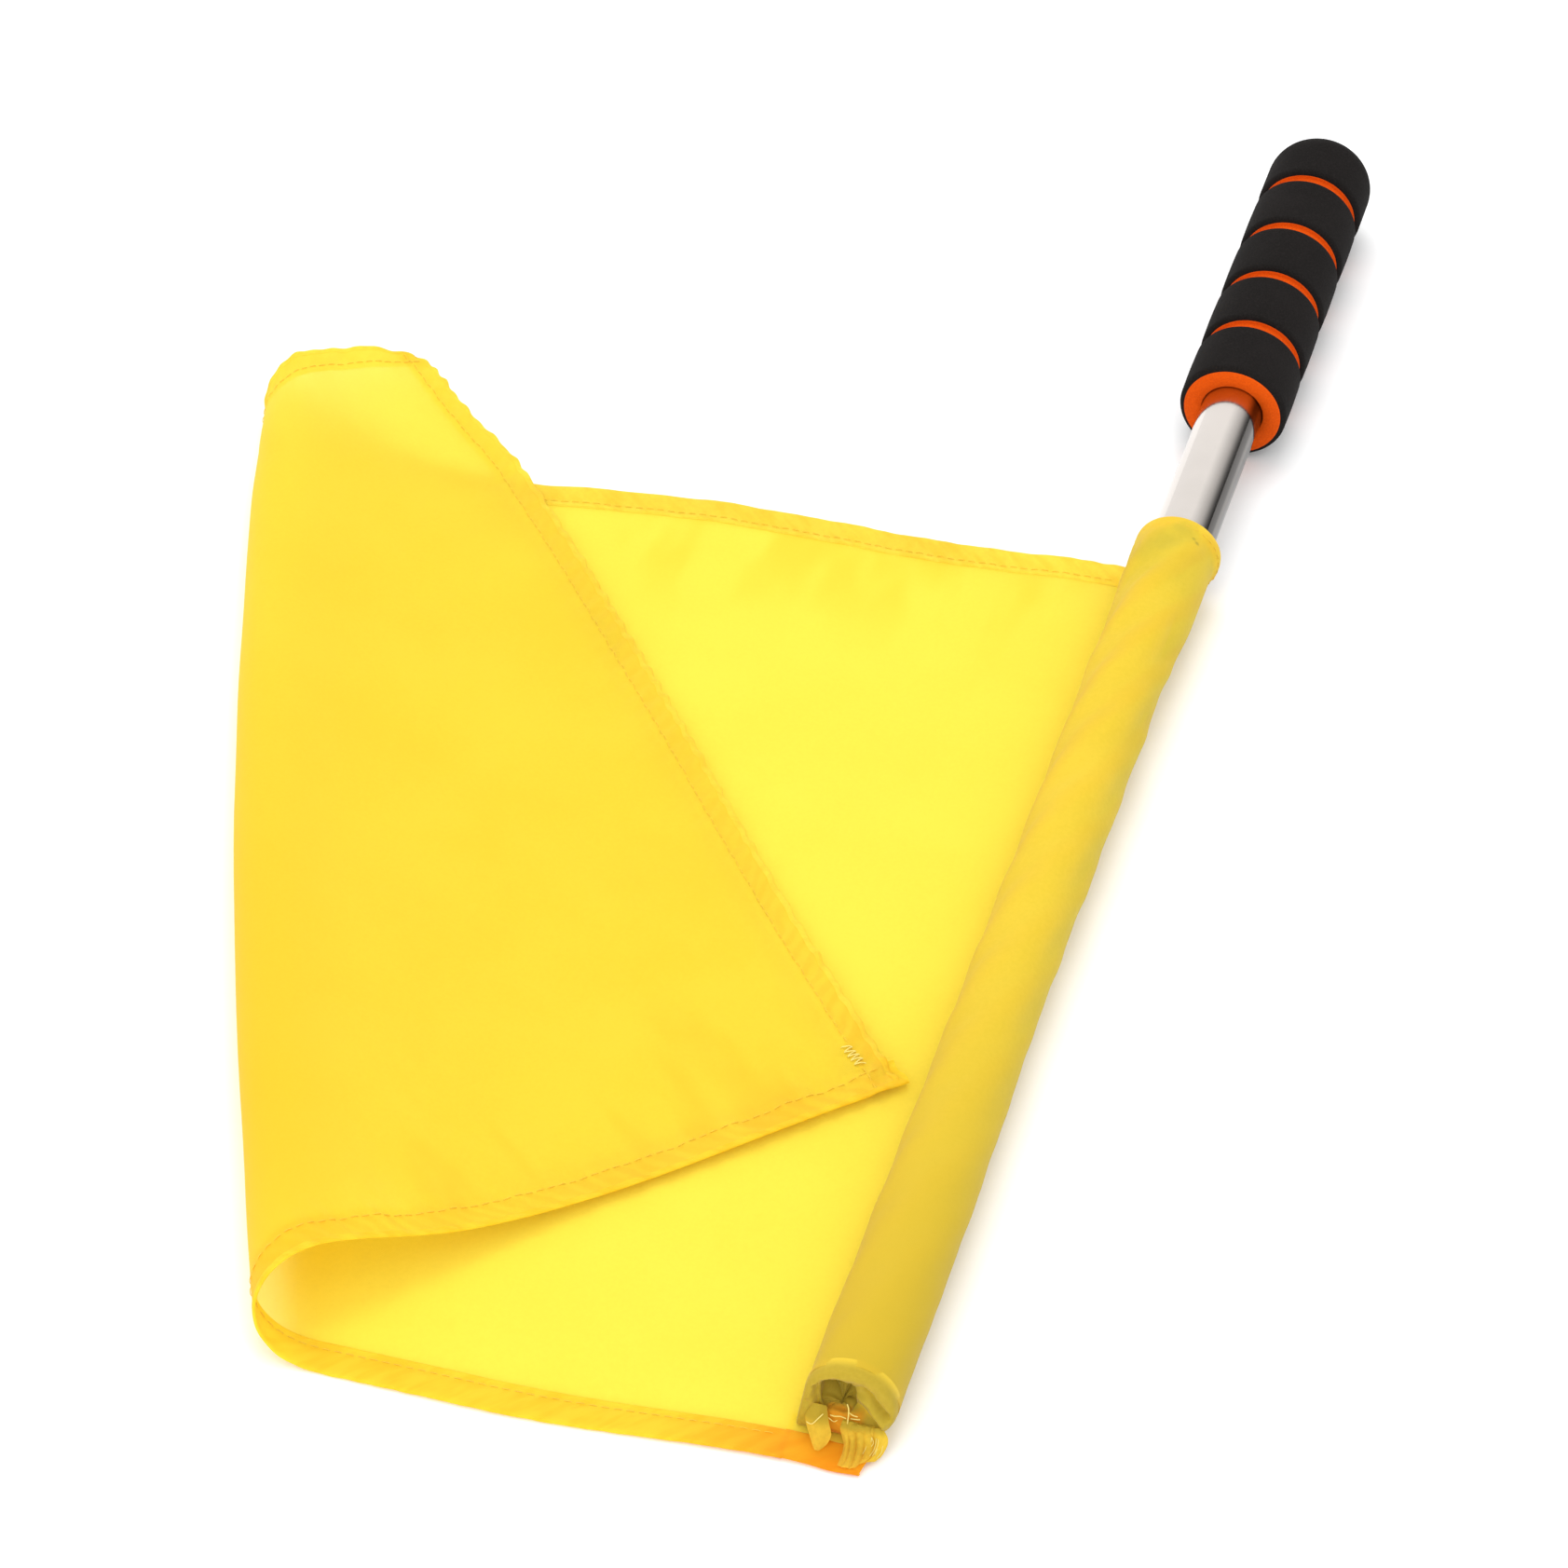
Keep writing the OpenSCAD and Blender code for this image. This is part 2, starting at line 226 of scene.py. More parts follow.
def worked(x, s):
    """The flat place and the height that stitching and handling give a point of the cloth."""
    to_fly = np.maximum(x - fly_x(s), 0)
    to_top = np.maximum(top_s - s, 0)
    to_low = np.maximum(s - bottom_s, 0)
    past_roll = roll_x(s) - x
    on_flap = smooth((past_roll - 30) / 30)
    on_roll = bell(past_roll, 28, 20)
    fly = hem_wave(s, to_fly, 1.0)
    top = hem_wave(-x, to_top, 2.0)
    low = hem_wave(-x, to_low, 3.0)
    height = 0.38 * fly + (0.2 + 0.1 * on_flap) * top + (0.05 + 0.42 * on_flap) * low
    for inset in (to_fly, to_top, to_low):
        height -= 0.16 * bell(inset, STITCH_IN, 0.9)
    # Broad drape, and short folds that run in from the hems.
    height += (0.10 + 0.24 * on_flap) * ripple(x, s, 70, 5) + 0.12
    short = np.sin(x / 3.9 + 0.02 * s + 0.9 * np.sin(x / 17)) * (0.6 + 0.4 * np.sin(x / 29 + 1))
    height += 0.95 * on_flap * short * smooth(to_low / 8) * np.exp(-to_low / 24)
    height += 0.3 * (np.sin(x / 4.1) * np.sin(x / 15 + 1) + 1) * np.exp(-to_top / 18)
    # Handling leaves a few long, soft creases across the flap.
    creases = bell(x + 0.55 * s, -222, 7) - 0.8 * bell(x + 0.3 * s, -262, 9)
    height += 0.5 * on_flap * creases * smooth(to_fly / 30) * smooth(to_top / 60)
    # The roll bulges along its length and closes a little at the top.
    height += on_roll * (2.6 * bell(to_top, 0, 16) - 0.6 * smooth((to_top - 25) / 25))
    lift = smooth((seam_x - x) / 25)
    x_new = x + 0.45 * (1 + fly) * np.exp(-to_fly / 3.5)
    s_new = (s - 0.35 * (1 + top) * np.exp(-to_top / 3.5)
             + (0.08 + 0.3 * on_flap) * (1 + low) * np.exp(-to_low / 3.5))
    # The top edge arches over the flap and its corner is rounded off; the bottom edge bows.
    arch = 5.8 * bell(x, -306, 17) + 2.6 * bell(x, -328, 12)
    corner = 4.2 * np.exp(-(to_fly + to_top) / 7)
    pulled_in = 1.8 * bell(to_top, 30, 20) * np.exp(-to_fly / 9)
    bow_low = 2.7 - 6.0 * smooth((-5 - x) / 85) * smooth((200 + x) / 65)
    bow_low *= smooth((225 + x) / 60)
    s_new = s_new + arch * np.exp(-to_top / 30) + bow_low * np.exp(-to_low / 45) - corner
    x_new += corner + pulled_in
    return x_new, s_new, height * lift


# ---- mesh functions

def in_scene(name, data):
    obj = bpy.data.objects.new(name, data)
    bpy.context.scene.collection.objects.link(obj)
    return obj


def add_uv(mesh, name, uv):
    """A UV layer from one pair of millimetre values a vertex, stored in metres."""
    layer = mesh.uv_layers.new(name=name)
    loops = np.zeros(len(mesh.loops), np.int32)
    mesh.loops.foreach_get("vertex_index", loops)
    layer.data.foreach_set("uv", (np.asarray(uv) * MM)[loops].astype(np.float32).ravel())


def mesh_object(name, points, faces, uv=None):
    """A smooth-shaded mesh from points in millimetres, with UVs in metres of cloth."""
    mesh = bpy.data.meshes.new(name)
    mesh.from_pydata((np.asarray(points) * MM).tolist(), [], faces)
    mesh.polygons.foreach_set("use_smooth", [True] * len(mesh.polygons))
    if uv is not None:
        add_uv(mesh, "cloth", uv)
    mesh.update()
    return in_scene(name, mesh)


def grid_faces(rows, cols, wrap=False, flip=False):
    """Quads of a grid of rows by cols points. wrap joins the last column to the first."""
    faces = []
    for r in range(rows - 1):
        for c in range(cols if wrap else cols - 1):
            n = (c + 1) % cols
            quad = [r * cols + c, r * cols + n, (r + 1) * cols + n, (r + 1) * cols + c]
            faces.append(quad[::-1] if flip else quad)
    return faces


def grid_object(name, points, uv=None, wrap=False, flip=False):
    """A sheet over a grid of points, shaped (rows, cols, 3)."""
    rows, cols = points.shape[:2]
    flat_uv = None if uv is None else uv.reshape(-1, 2)
    return mesh_object(name, points.reshape(-1, 3), grid_faces(rows, cols, wrap, flip), flat_uv)


def many(name, parts, uv=None):
    """One object from several (points, faces) pairs."""
    points, faces, count = [], [], 0
    for p, f in parts:
        points.append(np.asarray(p))
        faces += [[v + count for v in face] for face in f]
        count += len(p)
    return mesh_object(name, np.concatenate(points), faces, uv)


def tube(path, radius, sides=6):
    """Points and faces of a round thread along a path, with closed, rounded ends."""
    path = np.asarray(path, float)
    tangent = np.gradient(path, axis=0)
    tangent /= np.linalg.norm(tangent, axis=1)[:, None]
    helper = np.array([0.0, 0, 1]) if abs(tangent[0][2]) < 0.9 else np.array([1.0, 0, 0])
    side = np.cross(tangent, helper)
    side /= np.linalg.norm(side, axis=1)[:, None]
    up = np.cross(side, tangent)
    size = np.full(len(path), radius)
    size[[0, -1]] *= 0.55
    a = np.arange(sides) * 2 * pi / sides
    turned = np.cos(a)[:, None] * side[:, None] + np.sin(a)[:, None] * up[:, None]
    ring = path[:, None] + size[:, None, None] * turned
    faces = grid_faces(len(path), sides, wrap=True)
    faces.append(list(range(sides)))
    faces.append([(len(path) - 1) * sides + i for i in reversed(range(sides))])
    return ring.reshape(-1, 3), faces


def curve_through(points, steps=8):
    """A smooth line through a few given points."""
    p = np.asarray(points, float)
    p = np.concatenate([[2 * p[0] - p[1]], p, [2 * p[-1] - p[-2]]])
    line = []
    for a, b, c, d in zip(p, p[1:], p[2:], p[3:]):
        for t in np.arange(steps) / steps:
            line.append(0.5 * (2 * b + (c - a) * t + (2 * a - 5 * b + 4 * c - d) * t ** 2
                               + (3 * b - a - 3 * c + d) * t ** 3))
    line.append(p[-2])
    return np.array(line)


LATHE_SIDES = 160


def lathe(name, outline):
    """A solid of revolution about the Y axis from an outline of (radius, y) points."""
    r, y = np.array(outline, float).T[:, :, None]
    a = np.arange(LATHE_SIDES) * 2 * pi / LATHE_SIDES
    return grid_object(name, together(r * np.cos(a), y, r * np.sin(a)), wrap=True, flip=True)


# ---- materials

class Nodes:
    """The node tree of a material or of the world, with short ways to add and join nodes."""

    def __init__(self, owner, end="ShaderNodeOutputMaterial"):
        self.owner = owner
        owner.use_nodes = True
        self.tree = owner.node_tree
        self.tree.nodes.clear()
        self.output = self.add(end)

    def add(self, kind, settings=None, **inputs):
        """A node. Its inputs are named with underscores in place of spaces."""
        node = self.tree.nodes.new(kind)
        for key, value in (settings or {}).items():
            setattr(node, key, value)
        for key, value in inputs.items():
            self.put(node, key.replace("_", " "), value)
        return node

    def put(self, node, socket, value):
        """Links another node's output to a socket, or sets it to a value or an opaque colour."""
        if isinstance(value, bpy.types.NodeSocket):
            self.tree.links.new(value, node.inputs[socket])
        elif node.inputs[socket].type == "RGBA":
            node.inputs[socket].default_value = (*value, 1.0)
        else:
            node.inputs[socket].default_value = value

    def place(self, kind="Object"):
        """Where a point is: Object is metres in the frame, UV is metres along the flat cloth."""
        return self.add("ShaderNodeTexCoord").outputs[kind]

    def parts(self, vector):
        return self.add("ShaderNodeSeparateXYZ", Vector=vector).outputs

    def mapped(self, vector, scale=(1, 1, 1), turn=0.0):
        return self.add("ShaderNodeMapping", Vector=vector, Scale=scale,
                        Rotation=(0, 0, turn)).outputs["Vector"]

    def distance(self, vector, point):
        node = self.add("ShaderNodeVectorMath", {"operation": "DISTANCE"})
        self.put(node, 0, vector)
        self.put(node, 1, point)
        return node.outputs["Value"]

    def noise(self, scale, detail=3.0, vector=None):
        return self.add("ShaderNodeTexNoise", Vector=vector or self.place(), Scale=scale,
                        Detail=detail, Roughness=0.55).outputs["Fac"]

    def between(self, value, low, high, low_to=0.0, high_to=1.0):
        """A smooth step from low_to at low to high_to at high."""
        return self.add("ShaderNodeMapRange", {"interpolation_type": "SMOOTHSTEP"}, Value=value,
                        From_Min=low, From_Max=high, To_Min=low_to,
                        To_Max=high_to).outputs["Result"]

    def math(self, operation, a, b=0.0):
        node = self.add("ShaderNodeMath", {"operation": operation})
        self.put(node, 0, a)
        self.put(node, 1, b)
        return node.outputs[0]

    def plus(self, a, b):
        return self.math("ADD", a, b)

    def times(self, product, *others):
        for other in others:
            product = self.math("MULTIPLY", product, other)
        return product

    def mixed(self, a, of_a, b, of_b):
        """A weighted sum of two values."""
        return self.plus(self.times(a, of_a), self.times(b, of_b))

    def sine(self, value, wavelength):
        return self.math("SINE", self.times(value, 2 * pi / wavelength))

    def outside(self, share):
        """What a share leaves of 1."""
        return self.math("SUBTRACT", 1.0, share)

    def part_of(self, axis, low, high):
        """0 to 1 along an axis of the frame, between two places in millimetres."""
        return self.between(self.parts(self.place())[axis], low * MM, high * MM)

    def blend(self, factor, a, b, kind="MIX"):
        node = self.add("ShaderNodeMix", {"data_type": "RGBA", "blend_type": kind})
        self.put(node, 0, factor)
        self.put(node, 6, a)
        self.put(node, 7, b)
        return node.outputs[2]

    def bump(self, height, distance, strength, normal=None):
        node = self.add("ShaderNodeBump", Height=height, Distance=distance, Strength=strength)
        if normal:
            self.put(node, "Normal", normal)
        return node.outputs["Normal"]

    def surface(self, colour, roughness, **inputs):
        return self.add("ShaderNodeBsdfPrincipled", Base_Color=colour, Roughness=roughness,
                        **inputs)

    def finish(self, shader, glow=None, share=0.0):
        """Joins a shader to the output, mixed with a share of a second one if there is one."""
        if glow:
            mix = self.add("ShaderNodeMixShader", Fac=share)
            self.put(mix, 1, shader.outputs[0])
            self.put(mix, 2, glow.outputs[0])
            shader = mix
        self.put(self.output, "Surface", shader.outputs[0])
        return self.owner


def material_nodes(name):
    return Nodes(bpy.data.materials.new(name))


WEAVE_PITCH = 0.42 * MM


def cloth_material(name, shown, through, share, worn=0.03, streaks=0.0, tint=None):
    """Thin woven polyester: the colour it shows, and the colour and share of light through it.

    tint gives the tinted places: how much, the colour shown, and the light's if it's another.
    """
    n = material_nodes(name)
    flat = n.parts(n.place("UV"))
    slub = n.noise(900.0, 2.0)
    patches = n.noise(28.0, 4.0)
    dark = tuple(c * (1 - worn * 2) for c in shown[:2]) + (shown[2] * 0.8,)
    tone = n.mixed(slub, 0.5, patches, 0.5)
    colour = n.blend(n.between(tone, 0.36, 0.62), dark, shown)
    glow_colour = through
    for amount, *shades in tint(n) if tint else ():
        colour = n.blend(amount, colour, shades[0])
        glow_colour = n.blend(amount, glow_colour, shades[-1])
    if streaks:
        # The turned-in layer shows through in slanted streaks,
        # of painted shade where less light passes the doubled cloth.
        slanted = n.mapped(n.mapped(n.place("UV"), turn=streaks), scale=(1.0, 0.22, 1.0))
        band = n.between(n.noise(330.0, 2.0, slanted), 0.38, 0.66)
        colour = n.blend(band, colour, (1.0, 0.86, 0.7), "MULTIPLY")
    # A plain weave: two sets of threads that pass over and under each other.
    weave = n.times(n.sine(flat["X"], WEAVE_PITCH), n.sine(flat["Y"], WEAVE_PITCH))
    normal = n.bump(n.mixed(weave, 0.5, slub, 0.8), 0.04 * MM, 0.6)
    surface = n.surface(colour, 0.72, Normal=normal, Specular_IOR_Level=0.25, Sheen_Weight=0.12,
                        Sheen_Roughness=0.4)
    glow = n.add("ShaderNodeBsdfTranslucent", Color=glow_colour, Normal=normal)
    return n.finish(surface, glow, share)


def foam_material(name, colour, light, cell, roughness):
    """Closed-cell foam: a fine pitted skin with slightly lighter cell walls."""
    n = material_nodes(name)
    voronoi = n.add("ShaderNodeTexVoronoi", Vector=n.place(), Scale=1 / (cell * MM))
    cells = voronoi.outputs["Distance"]
    tone = n.mixed(cells, 0.55, n.noise(60.0), 0.55)
    shade = n.blend(n.between(tone, 0.3, 0.85), colour, light)
    pits = n.bump(cells, 0.08 * MM, 0.7)
    normal = n.bump(n.noise(420.0, 4.0), 0.12 * MM, 0.5, pits)
    return n.finish(n.surface(shade, roughness, Normal=normal, Specular_IOR_Level=0.1))


def steel_material():
    """Polished tube with faint drawn lines, and the dark reflection that the photograph shows.

    The reflection is painted on, low on the tube's right side, so it doesn't move with the view.
    """
    n = material_nodes("polished_steel")
    lines = n.noise(2600.0, vector=n.mapped(n.place(), scale=(1.0, 0.02, 1.0)))
    smears = n.noise(45.0, 4.0)
    tone = n.blend(n.between(smears, 0.35, 0.7), (0.64, 0.595, 0.555), (0.68, 0.63, 0.59))
    xyz = n.parts(n.place())
    angle = n.math("ARCTAN2", xyz["Z"], xyz["X"])
    # The painted reflection: dark low on the right side, with a lighter line in it.
    light_line = n.times(n.between(angle, 0.16, 0.30), n.between(angle, 0.34, 0.46, 1.0, 0.0))
    reflected = n.times(n.between(angle, 0.60, 1.0, 1.0, 0.0), n.between(angle, -1.3, -0.5),
                        n.outside(n.times(light_line, 0.15)))
    tone = n.blend(n.times(reflected, 0.93), tone, (0.045, 0.042, 0.04))
    rough = n.between(n.mixed(lines, 0.6, smears, 0.4), 0.3, 0.7, 0.07, 0.15)
    return n.finish(n.surface(tone, rough, Normal=n.bump(lines, 0.004 * MM, 0.5), Metallic=1.0))


def thread_material(name, colour):
    """Twisted polyester sewing thread, which lets a little light through."""
    n = material_nodes(name)
    twist = n.noise(3500.0, 2.0)
    shade = n.blend(twist, [c * 0.82 for c in colour], colour)
    normal = n.bump(twist, 0.05 * MM, 0.6)
    glow = n.add("ShaderNodeBsdfTranslucent", Color=shade, Normal=normal)
    return n.finish(n.surface(shade, 0.6, Normal=normal), glow, 0.2)


def tape_material():
    """Olive adhesive tape, wound with a slightly rippled surface."""
    n = material_nodes("adhesive_tape")
    blots = n.noise(90.0, 4.0)
    shade = n.blend(n.between(blots, 0.4, 0.65), (0.16, 0.13, 0.02), (0.30, 0.25, 0.05))
    return n.finish(n.surface(shade, 0.5, Normal=n.bump(blots, 0.2 * MM, 0.4)))


def floor_material():
    n = material_nodes("floor_white")
    shade = n.blend(n.noise(3.0), (0.93, 0.93, 0.93), (0.95, 0.95, 0.95))
    return n.finish(n.surface(shade, 0.8, Specular_IOR_Level=0.1))


# ---- tints of the cloth

STRIPE_PITCH = 6.2
STRIPE_SLANT = 1.1


def flag_tint(n):
    """Painted shade: a deeper yellow where the flag's cloth is bunched up, turned back or folded."""
    flat = n.parts(n.place("UV"))
    # Along the hems the turned layers bunch up into slanted stripes of painted, deeper shade.
    hem = n.parts(n.add("ShaderNodeUVMap", {"uv_map": "hem"}).outputs["UV"])
    turns = 2 * pi / (STRIPE_PITCH * MM)
    phase = n.plus(n.mixed(hem["X"], turns, hem["Y"], STRIPE_SLANT * turns),
                   n.times(n.noise(60.0, 2.0), 14.0))
    stripe = n.between(n.math("SINE", phase), -0.9, 1.0)
    strong = n.between(flat["Y"], (bottom_s + 20) * MM, (bottom_s + 150) * MM, 0.15, 0.04)
    inside = n.between(hem["Y"], 6.2 * MM, 8.2 * MM, 1.0, 0.0)
    deep = n.times(inside, n.plus(n.times(stripe, strong), 0.04))
    yield deep, (0.93, 0.52, 0.03), (0.95, 0.42, 0.02)
    # Painted shade on the roll's outside, deeper low down, where the cloth turns over.
    # past is the distance past the start of the roll, straight out.
    start = (roll_start - bottom_s * math.tan(roll_angle)) * MM
    past = n.math("SUBTRACT", n.mixed(flat["X"], -1.0, flat["Y"], -math.tan(roll_angle)), start)
    turned = n.times(n.between(past, 12 * MM, 30 * MM), n.between(past, 34 * MM, 80 * MM, 1.0, 0.0),
                     n.between(flat["Y"], bottom_s * MM, top_s * MM, 0.75, 0.15))
    yield turned, (0.93, 0.56, 0.025), (0.97, 0.66, 0.03)
    # Short folds run in from the hems: on the flap's lower side, and at the top of the rest.
    # Their painted shade is a deeper yellow in soft patches.
    on_flap = n.between(past, 70 * MM, 90 * MM)
    low_side = n.between(flat["Y"], (bottom_s + 9) * MM, (bottom_s + 80) * MM, 0.5, 0.0)
    top_side = n.between(flat["Y"], (top_s - 60) * MM, (top_s - 9) * MM, 0.0, 0.4)
    long_way = n.mapped(n.place("UV"), scale=(1.0, 0.35, 1.0), turn=0.3)
    fold = n.between(n.noise(42.0, 2.0, long_way), 0.46, 0.66)
    where = n.mixed(low_side, on_flap, top_side, n.outside(on_flap))
    yield n.times(fold, where), (0.94, 0.62, 0.035), (0.98, 0.70, 0.06)


def hem_tint(n):
    """The bottom hem is a deeper yellow than the others, and turns orange toward the pole.

    The orange is painted shade, under the sleeve's end where the cloth is doubled.
    """
    flat = n.parts(n.place("UV"))
    lowest = n.between(flat["Y"], (bottom_s + 9) * MM, (bottom_s + 12) * MM, 0.9, 0.0)
    yield lowest, (0.97, 0.79, 0.05)
    # Painted shade: orange toward the pole, in the shade of the sleeve's end.
    near_pole = n.times(n.part_of("X", -52, 10),
                        n.outside(n.part_of("Y", bottom_y + 12, bottom_y + 20)))
    yield near_pole, (0.94, 0.42, 0.012)


# Marks on the sleeve: degrees round the axis, distance from the mouth, size, depth and colour.
TAPE_MARKS = [(82, 5, 6, 0.42, (0.50, 0.43, 0.05)),
               (100, 9.5, 6.5, 0.36, (0.52, 0.44, 0.05)),
               (122, 15, 6, 0.28, (0.54, 0.45, 0.05)),
               (57, 8, 1.1, 0.6, (0.24, 0.19, 0.03)),
               (63, 7, 0.9, 0.45, (0.30, 0.24, 0.03))]
FOLD_PITCH = 31


def sleeve_tint(n):
    """Painted shade toward the tip and where folds touch the tube.

    It also has darker olive marks over the tape under it.
    """
    flat = n.parts(n.place("UV"))
    # Painted shade in the valleys of the slanted folds, stronger near the mouth.
    phase = n.mixed(flat["Y"], 2 * pi / (FOLD_PITCH * MM),
                    flat["X"], 0.8 * 2 * pi / (sleeve_r * MM))
    drift = n.times(n.noise(14.0, 2.0), 5.0)
    valley = n.between(n.math("SINE", n.plus(phase, drift)), 0.5, -1.0, 0.0, 1.0)
    near_mouth = n.between(flat["Y"], (mouth_s - 190) * MM, (mouth_s - 30) * MM, 0.1, 0.3)
    yield n.times(valley, near_mouth), (0.90, 0.56, 0.03)
    # Painted shade: duller toward the tip.
    yield n.times(n.outside(n.part_of("Y", rim_y - 10, rim_y + 190)), 0.9), (0.73, 0.52, 0.033)
    # Darker olive marks over the tape under the sleeve's mouth.
    wobble = n.noise(110.0)
    for degrees, back, size, depth, shade in TAPE_MARKS:
        a = math.radians(degrees)
        centre = ((mouth_r - 0.6) * math.cos(a), mouth_y - back, (mouth_r - 0.6) * math.sin(a))
        away = n.plus(n.distance(n.place(), Vector(centre) * MM), n.times(wobble, size * 0.9 * MM))
        yield n.between(away, size * 0.5 * MM, size * 1.5 * MM, depth, 0.0), shade


def tip_tint(n):
    """The sleeve's colour outside, and painted olive shade where the cloth is doubled.

    A painted shade darkens it into the hollow, and a painted orange glow lights it low down.
    """
    yield n.part_of("Y", rim_y - 0.4, rim_y + 3.0), (0.78, 0.55, 0.035)
    # Painted shade, darker into the hollow.
    into = n.parts(n.add("ShaderNodeUVMap", {"uv_map": "hollow"}).outputs["UV"])["X"]
    yield n.between(into, -2.5 * MM, 1.5 * MM, 0.0, 0.75), (0.26, 0.18, 0.012)
    # A painted glow: orange light through the cloth, low in the hollow.
    low = n.outside(n.part_of("Z", -5.2, -3.6))
    inner = n.times(n.part_of("X", -7.2, -5.4), n.outside(n.part_of("X", 1.5, 4.5)))
    yield n.times(low, inner, 0.85), (0.82, 0.32, 0.01)


def tail_tint(n):
    """The raw strips are as dark as the rim where they come out of the tip."""
    yield n.part_of("Z", -8.0, -5.4), (0.56, 0.40, 0.03)


FLAG_SHOWN = (0.95, 0.765, 0.058)
FLAG_THROUGH = (1.0, 0.89, 0.31)
FLAG_CLOTH = cloth_material("flag_cloth", FLAG_SHOWN, FLAG_THROUGH, 0.52, tint=flag_tint)
PLAIN_CLOTH = cloth_material("corner_cloth", FLAG_SHOWN, FLAG_THROUGH, 0.52)
HEM_CLOTH = cloth_material("hem_cloth", (0.97, 0.80, 0.085), (1.0, 0.93, 0.38), 0.54, worn=0.06,
                           streaks=0.8, tint=hem_tint)
# The sleeve and the tip are the flag's fabric in darker colours: painted shade of the tube behind
# the sleeve and of the doubled cloth at the tip.
SLEEVE_CLOTH = cloth_material("sleeve_cloth", (0.90, 0.68, 0.05), (1.0, 0.73, 0.04), 0.36,
                              tint=sleeve_tint)
TIP_CLOTH = cloth_material("tip_cloth", (0.51, 0.365, 0.028), (0.64, 0.41, 0.02), 0.16, worn=0.04,
                           tint=tip_tint)
TAIL_CLOTH = cloth_material("tail_cloth", (0.87, 0.61, 0.05), (0.95, 0.60, 0.03), 0.35, worn=0.08,
                            tint=tail_tint)
BLACK_FOAM = foam_material("black_foam", (0.0075, 0.0065, 0.006), (0.013, 0.011, 0.0105), 0.5, 0.92)
ORANGE_FOAM = foam_material("orange_foam", (0.62, 0.068, 0.001), (0.72, 0.09, 0.002), 0.4, 0.8)
STEEL = steel_material()
YELLOW_THREAD = thread_material("yellow_thread", (0.97, 0.68, 0.055))
PALE_THREAD = thread_material("pale_thread", (1.0, 0.84, 0.22))
TAPE = tape_material()


def finished(obj, material, body=None):
    """Gives a piece its material, and the body that it rides on."""
    obj.data.materials.append(material)
    if body:
        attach(obj, body)


# ---- camera, floor and light

# Darker parts of the dome: direction, how far each reaches, and its level inside and outside.
DOME_SHADES = [((0.7027, 0.7115, 0.0), 0.85, 0.03, 1.50),
               ((-0.8, -0.6, 0.1), 1.1, 0.45, 1.0)]

# Soft lights: place in metres, side in metres, watts. They all point at one place on the flag.
SOFT_LIGHTS = {"front": ((0.45, -1.0, 1.35), 1.3, 3), "back": ((-0.2, 0.55, 1.6), 1.0, 10),
               "low": ((-0.45, -1.1, 0.28), 0.8, 3)}
LIGHT_TARGET = Vector((-0.12, -0.25, 0))


def make_camera():
    """A long lens from above, in front and to the right of the tip."""
    data = bpy.data.cameras.new("camera")
    data.lens = 122.57
    data.sensor_width = 36
    data.clip_end = 20
    camera = in_scene("camera", data)
    camera.location = (0.2320, -1.27784, 0.96336)
    forward = Vector((-0.21572, 0.71154, -0.66872))
    up = Vector((-0.19038, 0.64105, 0.74351))
    right = forward.cross(up).normalized()
    up = right.cross(forward)
    camera.rotation_euler = Matrix((right, up, -forward)).transposed().to_euler()
    bpy.context.scene.camera = camera


def make_floor():
    size = 4000
    corners = [(x, y, floor_z(y + FACE_STATION)) for x, y in
               ((-size, -size), (size, -size), (size, size), (-size, size))]
    floor = mesh_object("floor", corners, [[0, 1, 2, 3]])
    floor.data.materials.append(floor_material())


def make_lights():
    """A white dome that darkens toward two sides, and soft lights from in front and behind."""
    scene = bpy.context.scene
    scene.world = bpy.data.worlds.new("studio")
    n = Nodes(scene.world, "ShaderNodeOutputWorld")
    strength = 1.0
    for direction, reach, dark, light in DOME_SHADES:
        away = n.distance(n.place("Generated"), Vector(direction).normalized())
        fade = n.add("ShaderNodeMapRange", Value=away, From_Min=0.0, From_Max=reach, To_Min=dark,
                     To_Max=light)
        strength = n.times(strength, fade.outputs["Result"])
    n.finish(n.add("ShaderNodeBackground", Strength=strength))
    for name, (where, size, watts) in SOFT_LIGHTS.items():
        data = bpy.data.lights.new(name, "AREA")
        data.shape = "SQUARE"
        data.size = size
        data.energy = watts
        light = in_scene(name, data)
        light.location = where
        light.visible_glossy = False
        aim = LIGHT_TARGET - light.location
        light.rotation_euler = aim.to_track_quat("-Z", "Y").to_euler()
    scene.view_settings.view_transform = "Standard"


# ---- the flag

LEAD_COLS = 60
ROLL_COLS = 84
FLAP_COLS = 150
FLAG_ROWS = 300


def flag_columns(s):
    """Flat x of every column at station s: the columns lean with the roll, then meet the edge."""
    end = roll_x(s) - roll_len * (1 - roll_taper * (s - bottom_s) / hoist_len) / math.cos(roll_angle)
    lead = np.linspace(seam_x, roll_x(s), LEAD_COLS + 1)
    roll = np.linspace(roll_x(s), end, ROLL_COLS + 1)[1:]
    flap = np.linspace(end, fly_x(s), FLAP_COLS + 1)[1:]
    return np.concatenate([lead, roll, flap])


def bend_at_seam(piece):
    """Bakes the piece's transform into its mesh; it does not bend the cloth at the seam."""
    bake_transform(piece)


